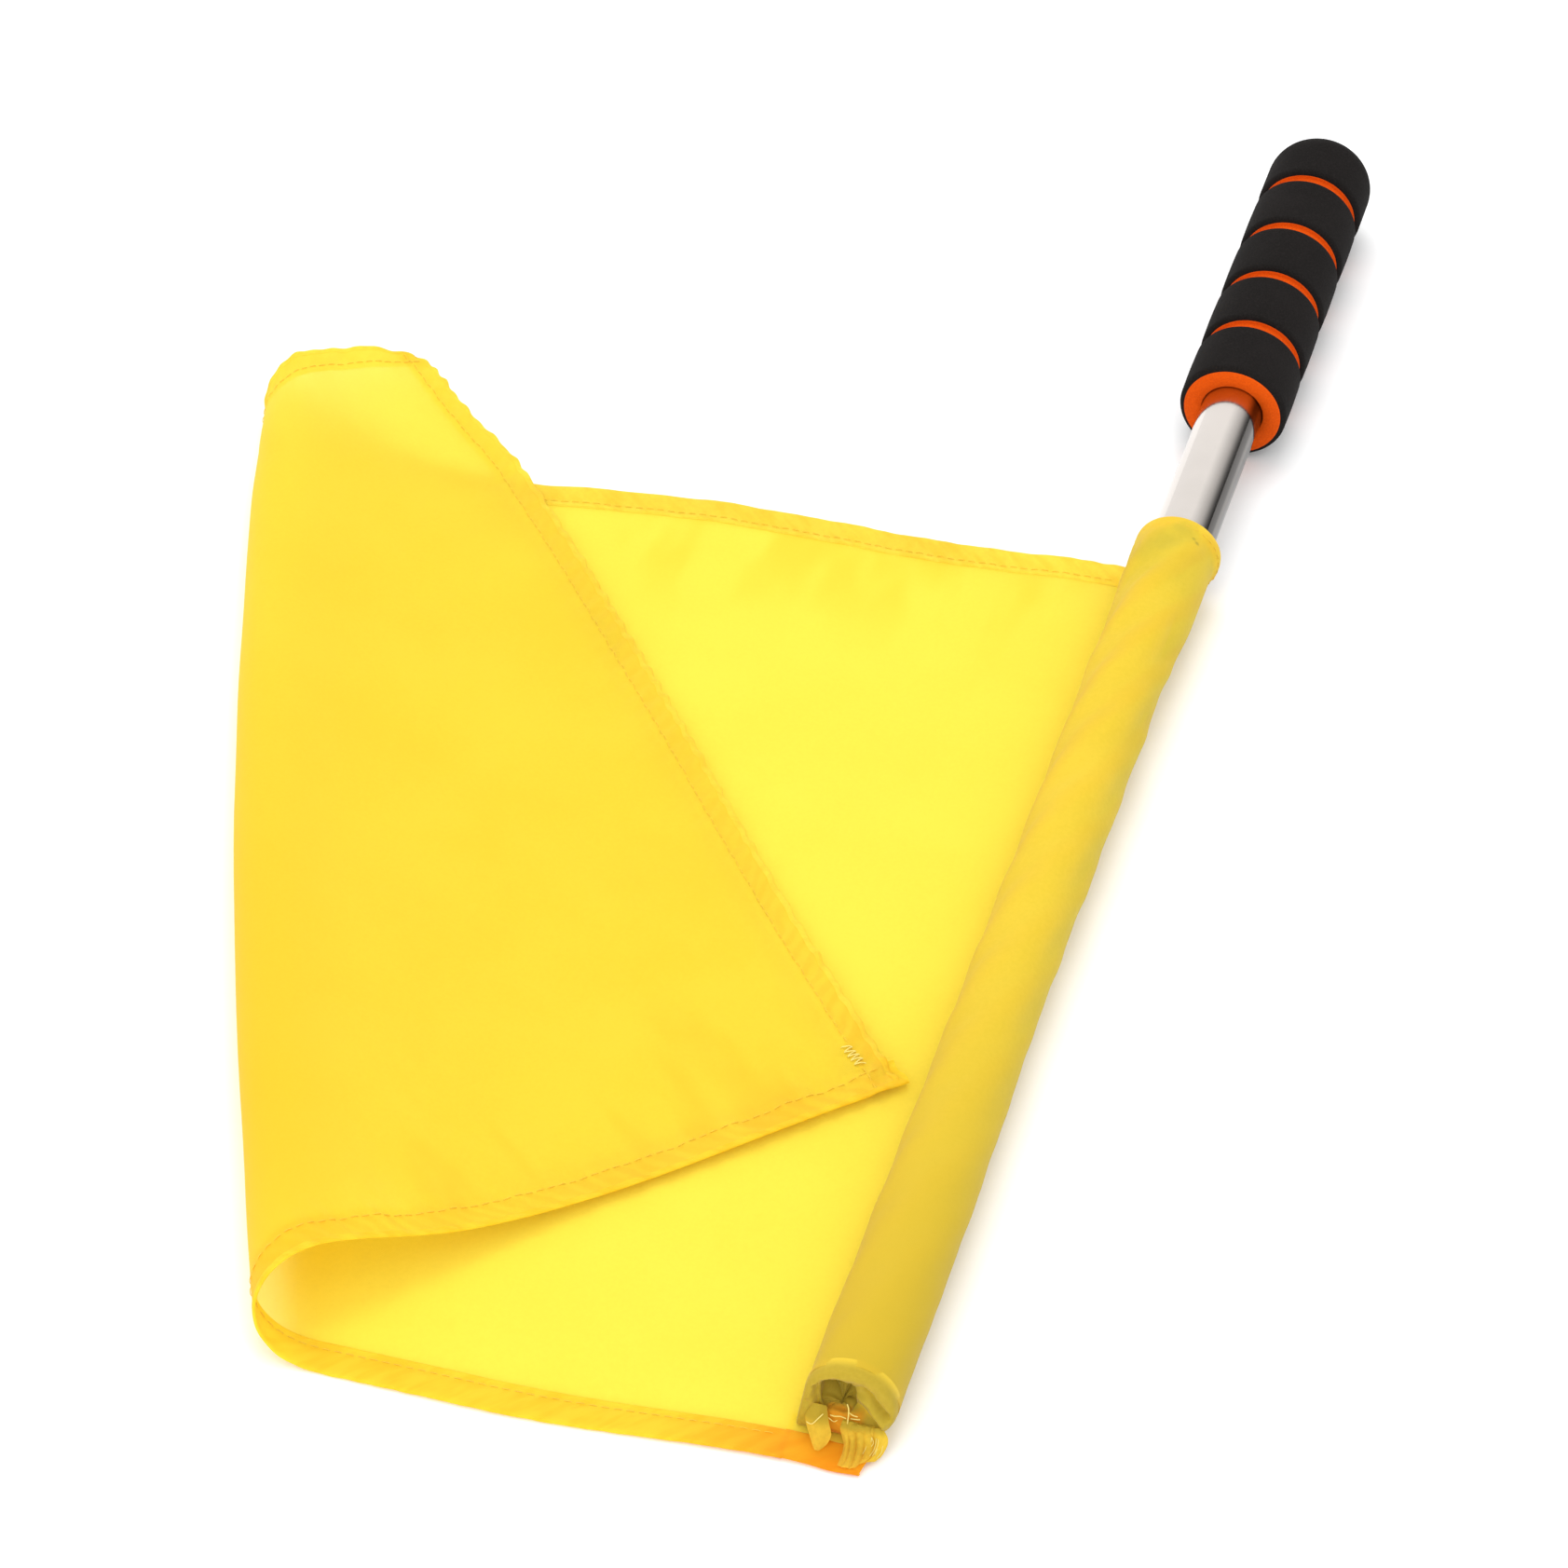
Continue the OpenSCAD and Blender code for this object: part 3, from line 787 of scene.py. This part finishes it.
def make_flag():
    stations = np.linspace(bottom_s, top_s, FLAG_ROWS + 1)
    x = np.array([flag_columns(s) for s in stations])
    s = np.repeat(stations[:, None], x.shape[1], 1)
    flag = grid_object("flag_cloth", cloth(*worked(x, s)), np.stack([x, s], -1))
    insets = np.stack([x - fly_x(s), top_s - s, s - bottom_s], -1)
    nearest = insets.argmin(-1)
    run = np.where(nearest == 0, s, -x + 40 * nearest)
    add_uv(flag.data, "hem", np.stack([run, insets.min(-1)], -1).reshape(-1, 2))
    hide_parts("flag_panel")
    finished(flag, FLAG_CLOTH)
    bend_at_seam(flag)
    return flag


# A hem in section, from the panel's far side round the edge and back to the inner fold:
# (inset from the edge, distance off the cloth). The cloth's own layer is at 0.
HEM_SECTION = [(1.6, -0.10), (0.9, -0.24), (0.2, -0.26), (-0.25, -0.05), (-0.35, 0.25),
               (-0.1, 0.55), (0.6, 0.72), (2, 0.70), (3.6, 0.66), (5.2, 0.60), (6.3, 0.50),
               (7, 0.40), (7.8, 0.52), (8.5, 0.58), (9, 0.42), (9.15, 0.12)]


def hem(name, node, line, inward):
    """A turned hem along a line of flat points. inward is the unit step in from the edge."""
    line = np.asarray(line, float)
    rows = []
    for inset, out in HEM_SECTION:
        x, s = (line + np.multiply(inward, inset)).T
        inner_x, inner_s = (line + np.multiply(inward, max(inset, 0))).T
        x_new, s_new, height = worked(inner_x, inner_s)
        rows.append(cloth(x_new + (x - inner_x), s_new + (s - inner_s), out + height))
    insets = np.array([inset for inset, out in HEM_SECTION])
    uv = np.stack([line[:, :1] + inward[0] * 3 + insets * abs(inward[0]),
                   line[:, 1:] + insets * abs(inward[1])], -1)
    piece = grid_object(name, np.stack(rows, 1), uv, flip=inward[0] + inward[1] < 0)
    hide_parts(node)
    finished(piece, HEM_CLOTH)
    return piece


# The bottom hem runs on past the fly edge by a short tab.
HEM_STEP = 0.9
TAB_LEN = 3.0


def from_seam(end, s):
    """Points along the flag from the seam to an end, at one station."""
    return [(x, s) for x in np.linspace(seam_x, end, int((seam_x - end) / HEM_STEP))]


def make_hems():
    top = hem("top_hem_fold", "top_hem", from_seam(fly_x(top_s), top_s), (0, -1))
    low = hem("bottom_hem_fold", "bottom_hem", from_seam(fly_x(bottom_s) - TAB_LEN, bottom_s),
              (0, 1))
    down_s = np.linspace(bottom_s + 0.3, top_s - 0.3, int(hoist_len / HEM_STEP))
    fly = hem("fly_hem_fold", "fly_hem", [(fly_x(s), s) for s in down_s], (1, 0))
    for piece in (top, low):
        bend_at_seam(piece)
    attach(fly, "flag")
    return [top, low, fly]


STITCH_PITCH = 3.1
STITCH_LEN = 2.2
THREAD_R = 0.12
BARTACK_R = 0.2


def stitch_on_cloth(a, b, out, radius=THREAD_R):
    """One stitch between two flat points, pressed into the cloth at both ends."""
    t = np.array([0, 0.18, 0.5, 0.82, 1.0])
    rise = np.array([-0.12, 0.06, 0.12, 0.06, -0.12])
    x = a[0] + (b[0] - a[0]) * t
    s = a[1] + (b[1] - a[1]) * t
    x_new, s_new, height = worked(x, s)
    return tube(cloth(x_new, s_new, height + out + np.sign(out) * rise), radius)


def sewn(name, node, parts, material, body=None):
    """One piece of thread from several stitches."""
    piece = many(name, parts)
    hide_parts(node)
    finished(piece, material, body)
    return piece


def stitch_row(name, node, place_at, length):
    """Stitches on both faces of a hem. place_at gives the flat point at a distance along it."""
    parts = []
    for i in range(int(length / STITCH_PITCH)):
        a, b = i * STITCH_PITCH, i * STITCH_PITCH + STITCH_LEN
        parts.append(stitch_on_cloth(place_at(a), place_at(b), 0.50))
        parts.append(stitch_on_cloth(place_at(a), place_at(b), -0.12))
    return sewn(name, node, parts, YELLOW_THREAD)


def make_stitches():
    start = seam_x - 4
    top = stitch_row("top_hem_seam", "top_hem_stitches",
                     lambda d: (start - d, top_s - STITCH_IN), start - fly_x(top_s) - 2)
    low = stitch_row("bottom_hem_seam", "bottom_hem_stitches",
                     lambda d: (start - d, bottom_s + STITCH_IN), start - fly_x(bottom_s) - 2)
    fly = stitch_row("fly_hem_seam", "fly_hem_stitches",
                     lambda d: (fly_x(bottom_s + 1 + d) + STITCH_IN, bottom_s + 1 + d),
                     hoist_len - 2)
    zig = []
    for i in range(9):
        s0 = bottom_s + 10.5 + i * 0.9
        x0 = fly_x(bottom_s) + 4.6
        ends = [(x0 + 3 * (i % 2), s0), (x0 + 3 * ((i + 1) % 2), s0 + 0.8)]
        zig.append(stitch_on_cloth(*ends, 0.55, BARTACK_R))
        zig.append(stitch_on_cloth(*ends, -0.42, BARTACK_R))
    bartack = sewn("corner_bartack_threads", "corner_bartack", zig, PALE_THREAD)
    for piece in (top, low):
        bend_at_seam(piece)
    for piece in (fly, bartack):
        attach(piece, "flag")
    return [top, low, fly, bartack]


# ---- the sleeve

seam_angle = math.atan2(seam_z, seam_x)
seam_reach = math.hypot(seam_x, seam_z)
SLEEVE_COLS = 150
SLEEVE_ROWS = 210
TAPE_LOW, TAPE_HIGH = box_mm("sleeve_tape")


def under_sleeve(s):
    """Least distance from the axis that keeps the sleeve clear of the tube and the tape on it."""
    on_tape = smooth((s - FACE_STATION - TAPE_LOW[1] + 32) / 30)
    return pole_r + 0.35 + (TAPE_HIGH[0] + 0.05 - pole_r) * on_tape


def sleeve_radius(phi, s):
    """Distance from the axis to the sleeve at the angle phi: round, drawn out to its seam."""
    flare = (mouth_r - sleeve_r) * smooth((s - mouth_s + 26) / 20)
    base = sleeve_r + flare
    off = np.abs((phi - seam_angle + pi) % (2 * pi) - pi)
    tangent = math.acos(sleeve_r / seam_reach)
    drawn = base / np.cos(np.clip(tangent - off, 0, tangent))
    return np.where(off < tangent, drawn, base)


def sleeve_tight(phi, s):
    """The sleeve is drawn in on its right side, less and less toward the tip."""
    side = smooth((np.cos(phi + 0.3) + 0.1) / 0.9)
    return 1.75 * side * smooth((mouth_s - 1 - s) / 7) * smooth((s + 355) / 110)


def sleeve_folds(phi, s):
    """Soft slanted folds round the sleeve, deeper near the mouth."""
    turn = phi % (2 * pi)
    turn = np.where(turn > 5.4, turn - 2 * pi, turn)
    shown = smooth((turn + 0.7) / 0.8) * smooth((3.5 - turn) / 0.8)
    near = np.exp((s - mouth_s) / 110)
    drift = 0.5 * np.sin(s / 37) + 0.3 * np.sin(s / 13)
    slanted = np.sin(2 * pi * (s / 31 + 0.8 * turn) + drift) * (0.16 + 0.62 * near)
    small = np.sin(2 * pi * (s / 13.3 + 0.5 * turn + 0.3) - drift) * (0.05 + 0.16 * near)
    edge = 0.22 * np.sin(s / 9.7) * np.sin(s / 23 + 1) + 0.12 * np.sin(s / 5.1 + phi)
    return shown * (slanted + small) + 0.6 * edge * smooth((1.2 - np.abs(turn)) / 1.2)


def sleeve_point(phi, r, s):
    return together(r * np.cos(phi), s - FACE_STATION, r * np.sin(phi))


# The mouth's seam, and its turned edge: distance back from the mouth, and inward from the sleeve.
MOUTH_SEAM_IN = 3.2
MOUTH_STITCHES = 25
MOUTH_TURN = [(2.5, 0), (1.2, 0.02), (0.4, 0.15), (0, 0.45), (0.3, 0.8), (1.5, 0.95), (4.5, 1)]


def make_sleeve():
    """The sleeve: one sheet from the seam round the pole and back, with a turned mouth."""
    phi = seam_angle + np.linspace(0, 2 * pi, SLEEVE_COLS + 1)
    rings = []
    for s in np.linspace(rim_s + 1.0, mouth_s - 4, SLEEVE_ROWS):
        r = sleeve_radius(phi, s) + sleeve_folds(phi, s) * smooth((mouth_s - 3 - s) / 8)
        r = r - 0.3 * bell(s, mouth_s - MOUTH_SEAM_IN, 0.8) - sleeve_tight(phi, s)
        rings.append((np.maximum(r, under_sleeve(s)), s))
    for back, inward in MOUTH_TURN:
        rings.append((sleeve_radius(phi, mouth_s - back) - inward, mouth_s - back))
    sleeve = grid_object("sleeve_cloth", np.array([sleeve_point(phi, r, s) for r, s in rings]),
                         np.array([together(phi * sleeve_r, s) for r, s in rings]))
    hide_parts("pole_sleeve", "sleeve_mouth_hem")
    finished(sleeve, SLEEVE_CLOTH, "pole")
    return sleeve


def make_sleeve_stitches():
    """The seam's stitches under the sleeve, and the ring of stitches round the mouth."""
    seam, mouth = [], []
    for i in range(int((mouth_s - rim_s - 10) / STITCH_PITCH)):
        y = rim_y + 5 + i * STITCH_PITCH
        seam.append(tube([(seam_x + STITCH_LEN, y + t, -sleeve_r - 0.12 - h) for t, h in
                          ((0, -0.1), (0.5, 0.1), (1.7, 0.1), (STITCH_LEN, -0.1))], THREAD_R))
    s = mouth_s - MOUTH_SEAM_IN
    for i in range(MOUTH_STITCHES):
        turned = (i + np.linspace(0.1, 0.75, 5)) / MOUTH_STITCHES
        phi = seam_angle + 0.35 + (2 * pi - 0.7) * turned
        r = sleeve_radius(phi, s) - 0.2 + np.array([-0.15, 0.08, 0.12, 0.08, -0.15])
        mouth.append(tube(sleeve_point(phi, r, s), 0.13))
    return [sewn("sleeve_seam", "sleeve_stitches", seam, YELLOW_THREAD, "pole"),
            sewn("mouth_seam", "mouth_stitches", mouth, YELLOW_THREAD, "pole")]


# ---- the tip

def on_face(x, out, z):
    """A point near the sleeve's end: out is the distance past the end of the rolled rim."""
    return together(x, rim_y - 1.5 - out, z)


def line_distance(x, z, line):
    """Distance in the end's plane from points to a line of straight parts."""
    best = np.full(np.shape(x), 1e9)
    for (x0, z0), (x1, z1) in zip(line[:-1], line[1:]):
        dx, dz = x1 - x0, z1 - z0
        t = np.clip(((x - x0) * dx + (z - z0) * dz) / (dx * dx + dz * dz), 0, 1)
        best = np.minimum(best, np.hypot(x - x0 - t * dx, z - z0 - t * dz))
    return best


# Folds of the sleeve's end, as lines in its plane: height of the fold, width, and places.
TIP_FOLDS = [
    (-1.7, 1, [(4.2, 5.2), (5.4, 3.6), (7.2, 1.2), (9.2, -1.2)]),
    (1.2, 1.3, [(2.2, 2), (4.6, 0.2), (7.2, -2), (9.4, -5.2), (9.4, -8.6)]),
    (-2, 1.2, [(0.2, -2.3), (3.8, -4.2), (6.6, -5.2)]),
    (-0.9, 0.6, [(-8.4, 4.4), (-8.3, 0.5), (-8.1, -4)]),
    (-0.4, 0.9, [(-10.6, -1.5), (-9.4, -4.2), (-7.4, -5.6)])]
HOLLOW_X, HOLLOW_Z = -3.1, 0.9
HOLLOW_WIDE, HOLLOW_HIGH = 4.5, 5.6
FACE_ROWS = 34


def make_tip():
    """The sleeve's end turns in over the tube's end and is bunched up inside it."""
    phi = np.arange(180) * 2 * pi / 180
    cos, sin = np.cos(phi), np.sin(phi)
    outer_r = sleeve_radius(phi, rim_s)
    inner_x = HOLLOW_X + HOLLOW_WIDE * np.sign(cos) * np.abs(cos) ** 0.6
    inner_z = HOLLOW_Z + HOLLOW_HIGH * np.sign(sin) * np.abs(sin) ** 0.6
    rows = []
    # The rim: back along the sleeve, then round the lip.
    for r, out in [(0.0, -4.5), (0.05, -3.0), (0.0, -1.6), (-0.25, -0.6), (-0.6, 0.0)]:
        rows.append(on_face((outer_r + r) * cos, out, (outer_r + r) * sin))
    # The end face, from the lip to the hollow's edge.
    for v in np.linspace(0.04, 1.0, FACE_ROWS):
        x = (outer_r - 0.8) * cos * (1 - v) + inner_x * v
        z = (outer_r - 0.8) * sin * (1 - v) + inner_z * v
        right = smooth((x + 1) / 5)
        out = 0.1 + 0.5 * math.sin(pi * min(1, v * 1.5)) - 1.5 * v ** 3 - 1.6 * right * v
        for size, width, line in TIP_FOLDS:
            out = out + size * np.exp(-(line_distance(x, z, line) / width) ** 2) * smooth(v / 0.12)
        out = out + 0.12 * np.sin(14 * phi + 9 * v) * smooth(v / 0.3)
        rows.append(on_face(x, out, z))
    # The hollow's wall runs in under the rim, then comes forward to close low down.
    edge = rows[-1]
    middle_x, middle_z = HOLLOW_X + 0.4, HOLLOW_Z - 4.2
    deep = 1.2 + 3.6 * smooth((edge[:, 2] + 3) / 6)
    for v in np.linspace(0.08, 1.0, 18):
        ring = edge.copy()
        shrink = 1 - 0.97 * smooth((v - 0.12) / 0.88)
        pleat = 0.28 * np.sin(13 * phi + 2) * math.sin(pi * v)
        ring[:, 0] = middle_x + (edge[:, 0] - middle_x) * shrink + pleat * cos
        ring[:, 2] = middle_z + (edge[:, 2] - middle_z) * shrink + pleat * sin
        ring[:, 1] = edge[:, 1] + deep * math.sin(pi * v) ** 0.8 + 1.4 * v
        rows.append(ring)
    steps = [np.linalg.norm(b - a, axis=1).mean() for a, b in zip(rows, rows[1:])]
    lengths = np.cumsum([0] + steps)
    uv = [together(phi * 11, d) for d in lengths]
    tip = grid_object("tip_tuck_cloth", np.array(rows), np.array(uv), wrap=True)
    into = np.repeat(lengths - lengths[FACE_ROWS + 4], len(phi))
    add_uv(tip.data, "hollow", together(into, 0))
    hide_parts("tip_tuck")
    finished(tip, TIP_CLOTH, "pole")
    return tip


def ruled(left, right, bulge):
    """A strip of cloth between two lines of (x, out, z), bulging toward the front and up."""
    a = curve_through([on_face(*p) for p in left], 9)
    b = curve_through([on_face(*p) for p in right], 9)
    v = np.linspace(0, 1, 9)[None, :, None]
    grid = a[:, None] * (1 - v) + b[:, None] * v
    arc = bulge * np.sin(pi * v) * np.array([0.0, -0.55, 0.83])
    t = np.linspace(0, 1, len(a))[:, None, None]
    wrinkle = 0.16 * np.sin(9 * t + 5 * v) * np.array([0.0, -0.5, 0.8])
    return grid + arc * (1 - 0.35 * t) + wrinkle


def strips_object(name, node, strips):
    """One piece of raw cloth from several strips."""
    parts, uv = [], []
    for grid in strips:
        rows, cols = grid.shape[:2]
        parts.append((grid.reshape(-1, 3), grid_faces(rows, cols)))
        a, b = np.meshgrid(np.linspace(0, 14, rows), np.linspace(0, 3, cols), indexing="ij")
        uv.append(np.stack([a, b], -1).reshape(-1, 2))
    piece = many(name, parts, np.concatenate(uv))
    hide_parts(node)
    finished(piece, TAIL_CLOTH, "pole")
    return piece


# Lines down the raw strips on the right, from left to right, as (x, out, z). Each strip lies
# between two of them.
TAIL_LINES = [
    [(-1, 0.9, -5.2), (-1.5, 1.3, -7), (-0.75, 2.2, -9), (0, 3.4, -10.2),
     (0.3, 6.3, -10.7), (0.1, 9.75, -10.7)],
    [(0.3, 0.5, -5.2), (0.4, 1.1, -7), (0.8, 1.8, -9), (1.4, 3, -10.2),
     (2, 7, -10.7), (1.4, 10, -10.7)],
    [(2, 0.2, -5.8), (2.1, 0.9, -7.6), (2.4, 2.2, -9.6), (2.9, 4.4, -10.5),
     (3.3, 8, -10.7), (2.9, 10.3, -10.7)],
    [(4.1, 0, -6.3), (4.4, 0.6, -8), (4.7, 1.6, -9.8), (5.2, 4, -10.7),
     (5.3, 7, -10.7), (4.3, 9.1, -10.7)],
    [(6, 0, -6.4), (6.4, 0.5, -8.2), (6.7, 1.2, -9.6), (7.3, 3.4, -10.7),
     (7.1, 5.5, -10.7), (6.1, 7.2, -10.7)],
    [(8.3, 0, -5.5), (9.6, 0.7, -7.4), (9.8, 1.4, -9.2), (9.3, 2.9, -10.4),
     (8.9, 4.2, -10.7), (8, 6.1, -10.7)]]


def make_tails():
    """Raw strips of cloth that come out of the tip and hang over its lower edge."""
    left = ruled([(-10.5, -0.9, -3.2), (-10.6, 0.9, -6.2), (-10, 2, -8.2), (-8.8, 3.6, -9.8),
                  (-7.7, 5.2, -10.6), (-6.6, 6.8, -10.8)],
                 [(-5.9, -1.1, -3.2), (-4.7, 1.1, -6.1), (-3.6, 2.8, -8.5), (-4, 4.2, -10.1),
                  (-4.9, 5.8, -10.7), (-5.7, 6.9, -10.8)], 0.9)
    left_tail = strips_object("tip_tail_left_strip", "tip_tail_left", [left])
    right = []
    for i in range(len(TAIL_LINES) - 1):
        high = 0.5 * (i % 2)
        a = [(x - 0.3, out + high, z - 0.3 + high) for x, out, z in TAIL_LINES[i]]
        b = [(x + 0.3, out - high, z - 0.3) for x, out, z in TAIL_LINES[i + 1]]
        right.append(ruled(a, b, 1.3))
    fold = ruled([(-1.1, 0.5, -4.7), (1, 0.3, -5), (3.5, 0, -5.7), (6.4, -0.4, -6)],
                 [(-1.7, 1.3, -7.1), (0.2, 1.6, -7.5), (2.8, 1.4, -7.8), (6.4, 0.8, -8.2)], 1)
    right_tail = strips_object("tip_tail_right_strips", "tip_tail_right", right + [fold])
    return [left_tail, right_tail]


def make_threads():
    """Loose threads at the raw edge: one stands up, others lie across the hollow."""
    routes = [
        ([(-0.4, 0.3, 0.7), (0.1, 0.7, -0.3), (0.2, 1.1, -2), (0, 1.3, -5.2)], 0.16),
        ([(-4.6, 0.2, -4.7), (-3.4, 0.6, -4.3), (-1.8, 0.8, -3.7), (-0.4, 0.9, -3.9)], 0.15),
        ([(0.2, 0.6, -1.9), (1.2, 0.9, -2.2), (2.4, 0.7, -2.6)], 0.14),
        ([(0.6, 0.7, -3.8), (2, 1, -3.3), (3, 0.7, -3.4)], 0.14),
        ([(-10.2, 1.6, -7.4), (-8.6, 2.2, -7), (-7.2, 1.4, -5.4), (-6.2, 0.8, -4.2)], 0.16),
        ([(-5, 0.4, -5.6), (-3.6, 0.7, -6.2), (-2.6, 0.9, -5.2)], 0.12)]
    for i in range(7):
        x = 5.2 + 0.6 * i
        sway = 0.35 * math.sin(2.3 * i)
        routes.append(([(x + sway, 1.2, -8.2), (x + 0.3, 2.1, -9.2), (x + sway, 3.7, -10),
                        (x - 0.3, 5.2 + sway, -10.3)], 0.11))
    parts = [tube(curve_through([on_face(*p) for p in points]), radius, 7)
             for points, radius in routes]
    return sewn("frayed_thread_ends", "frayed_threads", parts, PALE_THREAD, "pole")


def corner_strip(name, section, material):
    """A strip of the cloth's lowest edge that runs on under the sleeve's end."""
    high = box_mm("hem_corner")[1]
    rows, uv = [], []
    t = np.linspace(0, 1, 44)
    for inset, out in section:
        end = high[0] - 0.8 + 0.18 * max(inset, 0)
        x = seam_x - 1.4 + (end - seam_x + 1.4) * t
        flat_s = bottom_s + inset
        bow = 2.7 * np.exp(-max(inset, 0) / 45)
        wave = 0.15 * np.sin(x / 2.1) * smooth((x + 12) / 5) * smooth((inset + 1) / 4)
        z = seam_z + out - 0.04 - 0.2 * smooth((x - seam_x) / 8) + wave
        y = flat_s + bow - FACE_STATION - 0.6 * np.sin(pi * t) * smooth((x + 8) / 8)
        rows.append(together(x, y, z))
        uv.append(together(x, flat_s))
    piece = grid_object(name, np.array(rows), np.array(uv), flip=True)
    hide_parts("hem_corner")
    finished(piece, material, "pole")
    return piece


def make_hem_corner():
    hem_part = [(9.3, 0.15), (9.1, 0.45), (8.5, 0.6), (7, 0.42), (5, 0.62), (3, 0.7),
                (1.2, 0.7), (0.2, 0.55), (-0.25, 0.3), (-0.2, 0.05), (0.6, -0.1)]
    plain_part = [(15, 0.1), (13, 0.1), (11, 0.1), (8.6, 0.12)]
    return [corner_strip("hem_corner_fold", hem_part, HEM_CLOTH),
            corner_strip("hem_corner_cloth", plain_part, PLAIN_CLOTH)]


# ---- the grip and the pole

def rounded_band(y0, y1, r):
    """Outline of a band of foam skin: soft edges and a slightly crowned face."""
    edge = 1.9
    a = np.radians(np.linspace(0, 90, 9))
    lead = [(r - edge + edge * math.sin(t), y0 + edge * (1 - math.cos(t)) * 0.9) for t in a]
    middle = [(r + 0.12 * math.sin(pi * t), y0 + edge + (y1 - y0 - 2 * edge) * t)
              for t in np.linspace(0.08, 0.92, 9)]
    tail = [(x, y0 + y1 - y) for x, y in reversed(lead)]
    return [(core_r - 1.2, y0 + 0.2), (core_r, y0)] + lead + middle + tail + [
        (core_r, y1), (core_r - 1.2, y1 - 0.2)]


CAP_DOME = 13
GROOVE_DEPTH = 2.8


def foam_piece(node, outline, material):
    piece = lathe(node + "_foam", outline)
    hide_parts(node)
    finished(piece, material, "pole")


def make_grip():
    """Four bands and an end cap of black foam on an orange core, with a groove between each."""
    bands = []
    for node in [f"grip_band_{i}" for i in range(1, 5)]:
        low, high = box_mm(node)
        bands.append((low[1], high[1]))
        foam_piece(node, rounded_band(low[1], high[1], grip_r - 0.12), BLACK_FOAM)
    low, high = box_mm("grip_end_cap")
    straight = high[1] - CAP_DOME
    a = np.radians(np.linspace(0, 90, 24))
    dome = [(grip_r * math.cos(t), straight + CAP_DOME * math.sin(t)) for t in a]
    lead = rounded_band(low[1], straight, grip_r)[:11]
    foam_piece("grip_end_cap", lead + dome[:-1] + [(0.02, high[1])], BLACK_FOAM)
    groove_r = grip_r - GROOVE_DEPTH
    core = [(pole_r + 0.1, grip_face_y + 1.5), (pole_r + 0.15, grip_face_y + 0.25),
            (pole_r + 0.5, grip_face_y), (core_r - 0.25, grip_face_y), (core_r, grip_face_y + 0.3)]
    groove_starts = [end for start, end in bands]
    groove_ends = [start for start, end in bands[1:]] + [low[1]]
    for y, after in zip(groove_starts, groove_ends):
        core += [(core_r, y), (core_r - 0.2, y + 0.05), (groove_r + 0.3, y + 0.15),
                 (groove_r, y + 0.5), (groove_r, after - 0.5), (groove_r + 0.3, after - 0.15),
                 (core_r - 0.2, after - 0.05), (core_r, after)]
    core += [(core_r, straight), (core_r * 0.7, straight + 8), (0.02, straight + 11)]
    foam_piece("grip_core", core, ORANGE_FOAM)


def dress_cad_nodes():
    """Materials for the CAD nodes that stay."""
    for name, material in {"pole_tube": STEEL, "grip_tape": TAPE, "sleeve_tape": TAPE}.items():
        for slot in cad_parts[name].material_slots:
            slot.material = material


make_camera()
make_floor()
make_lights()
dress_cad_nodes()
flag = make_flag()
hems = make_hems()
seams = make_stitches()
sleeve = make_sleeve()
sleeve_seams = make_sleeve_stitches()
tip_pieces = [make_tip(), make_threads()] + make_tails() + make_hem_corner()
make_grip()
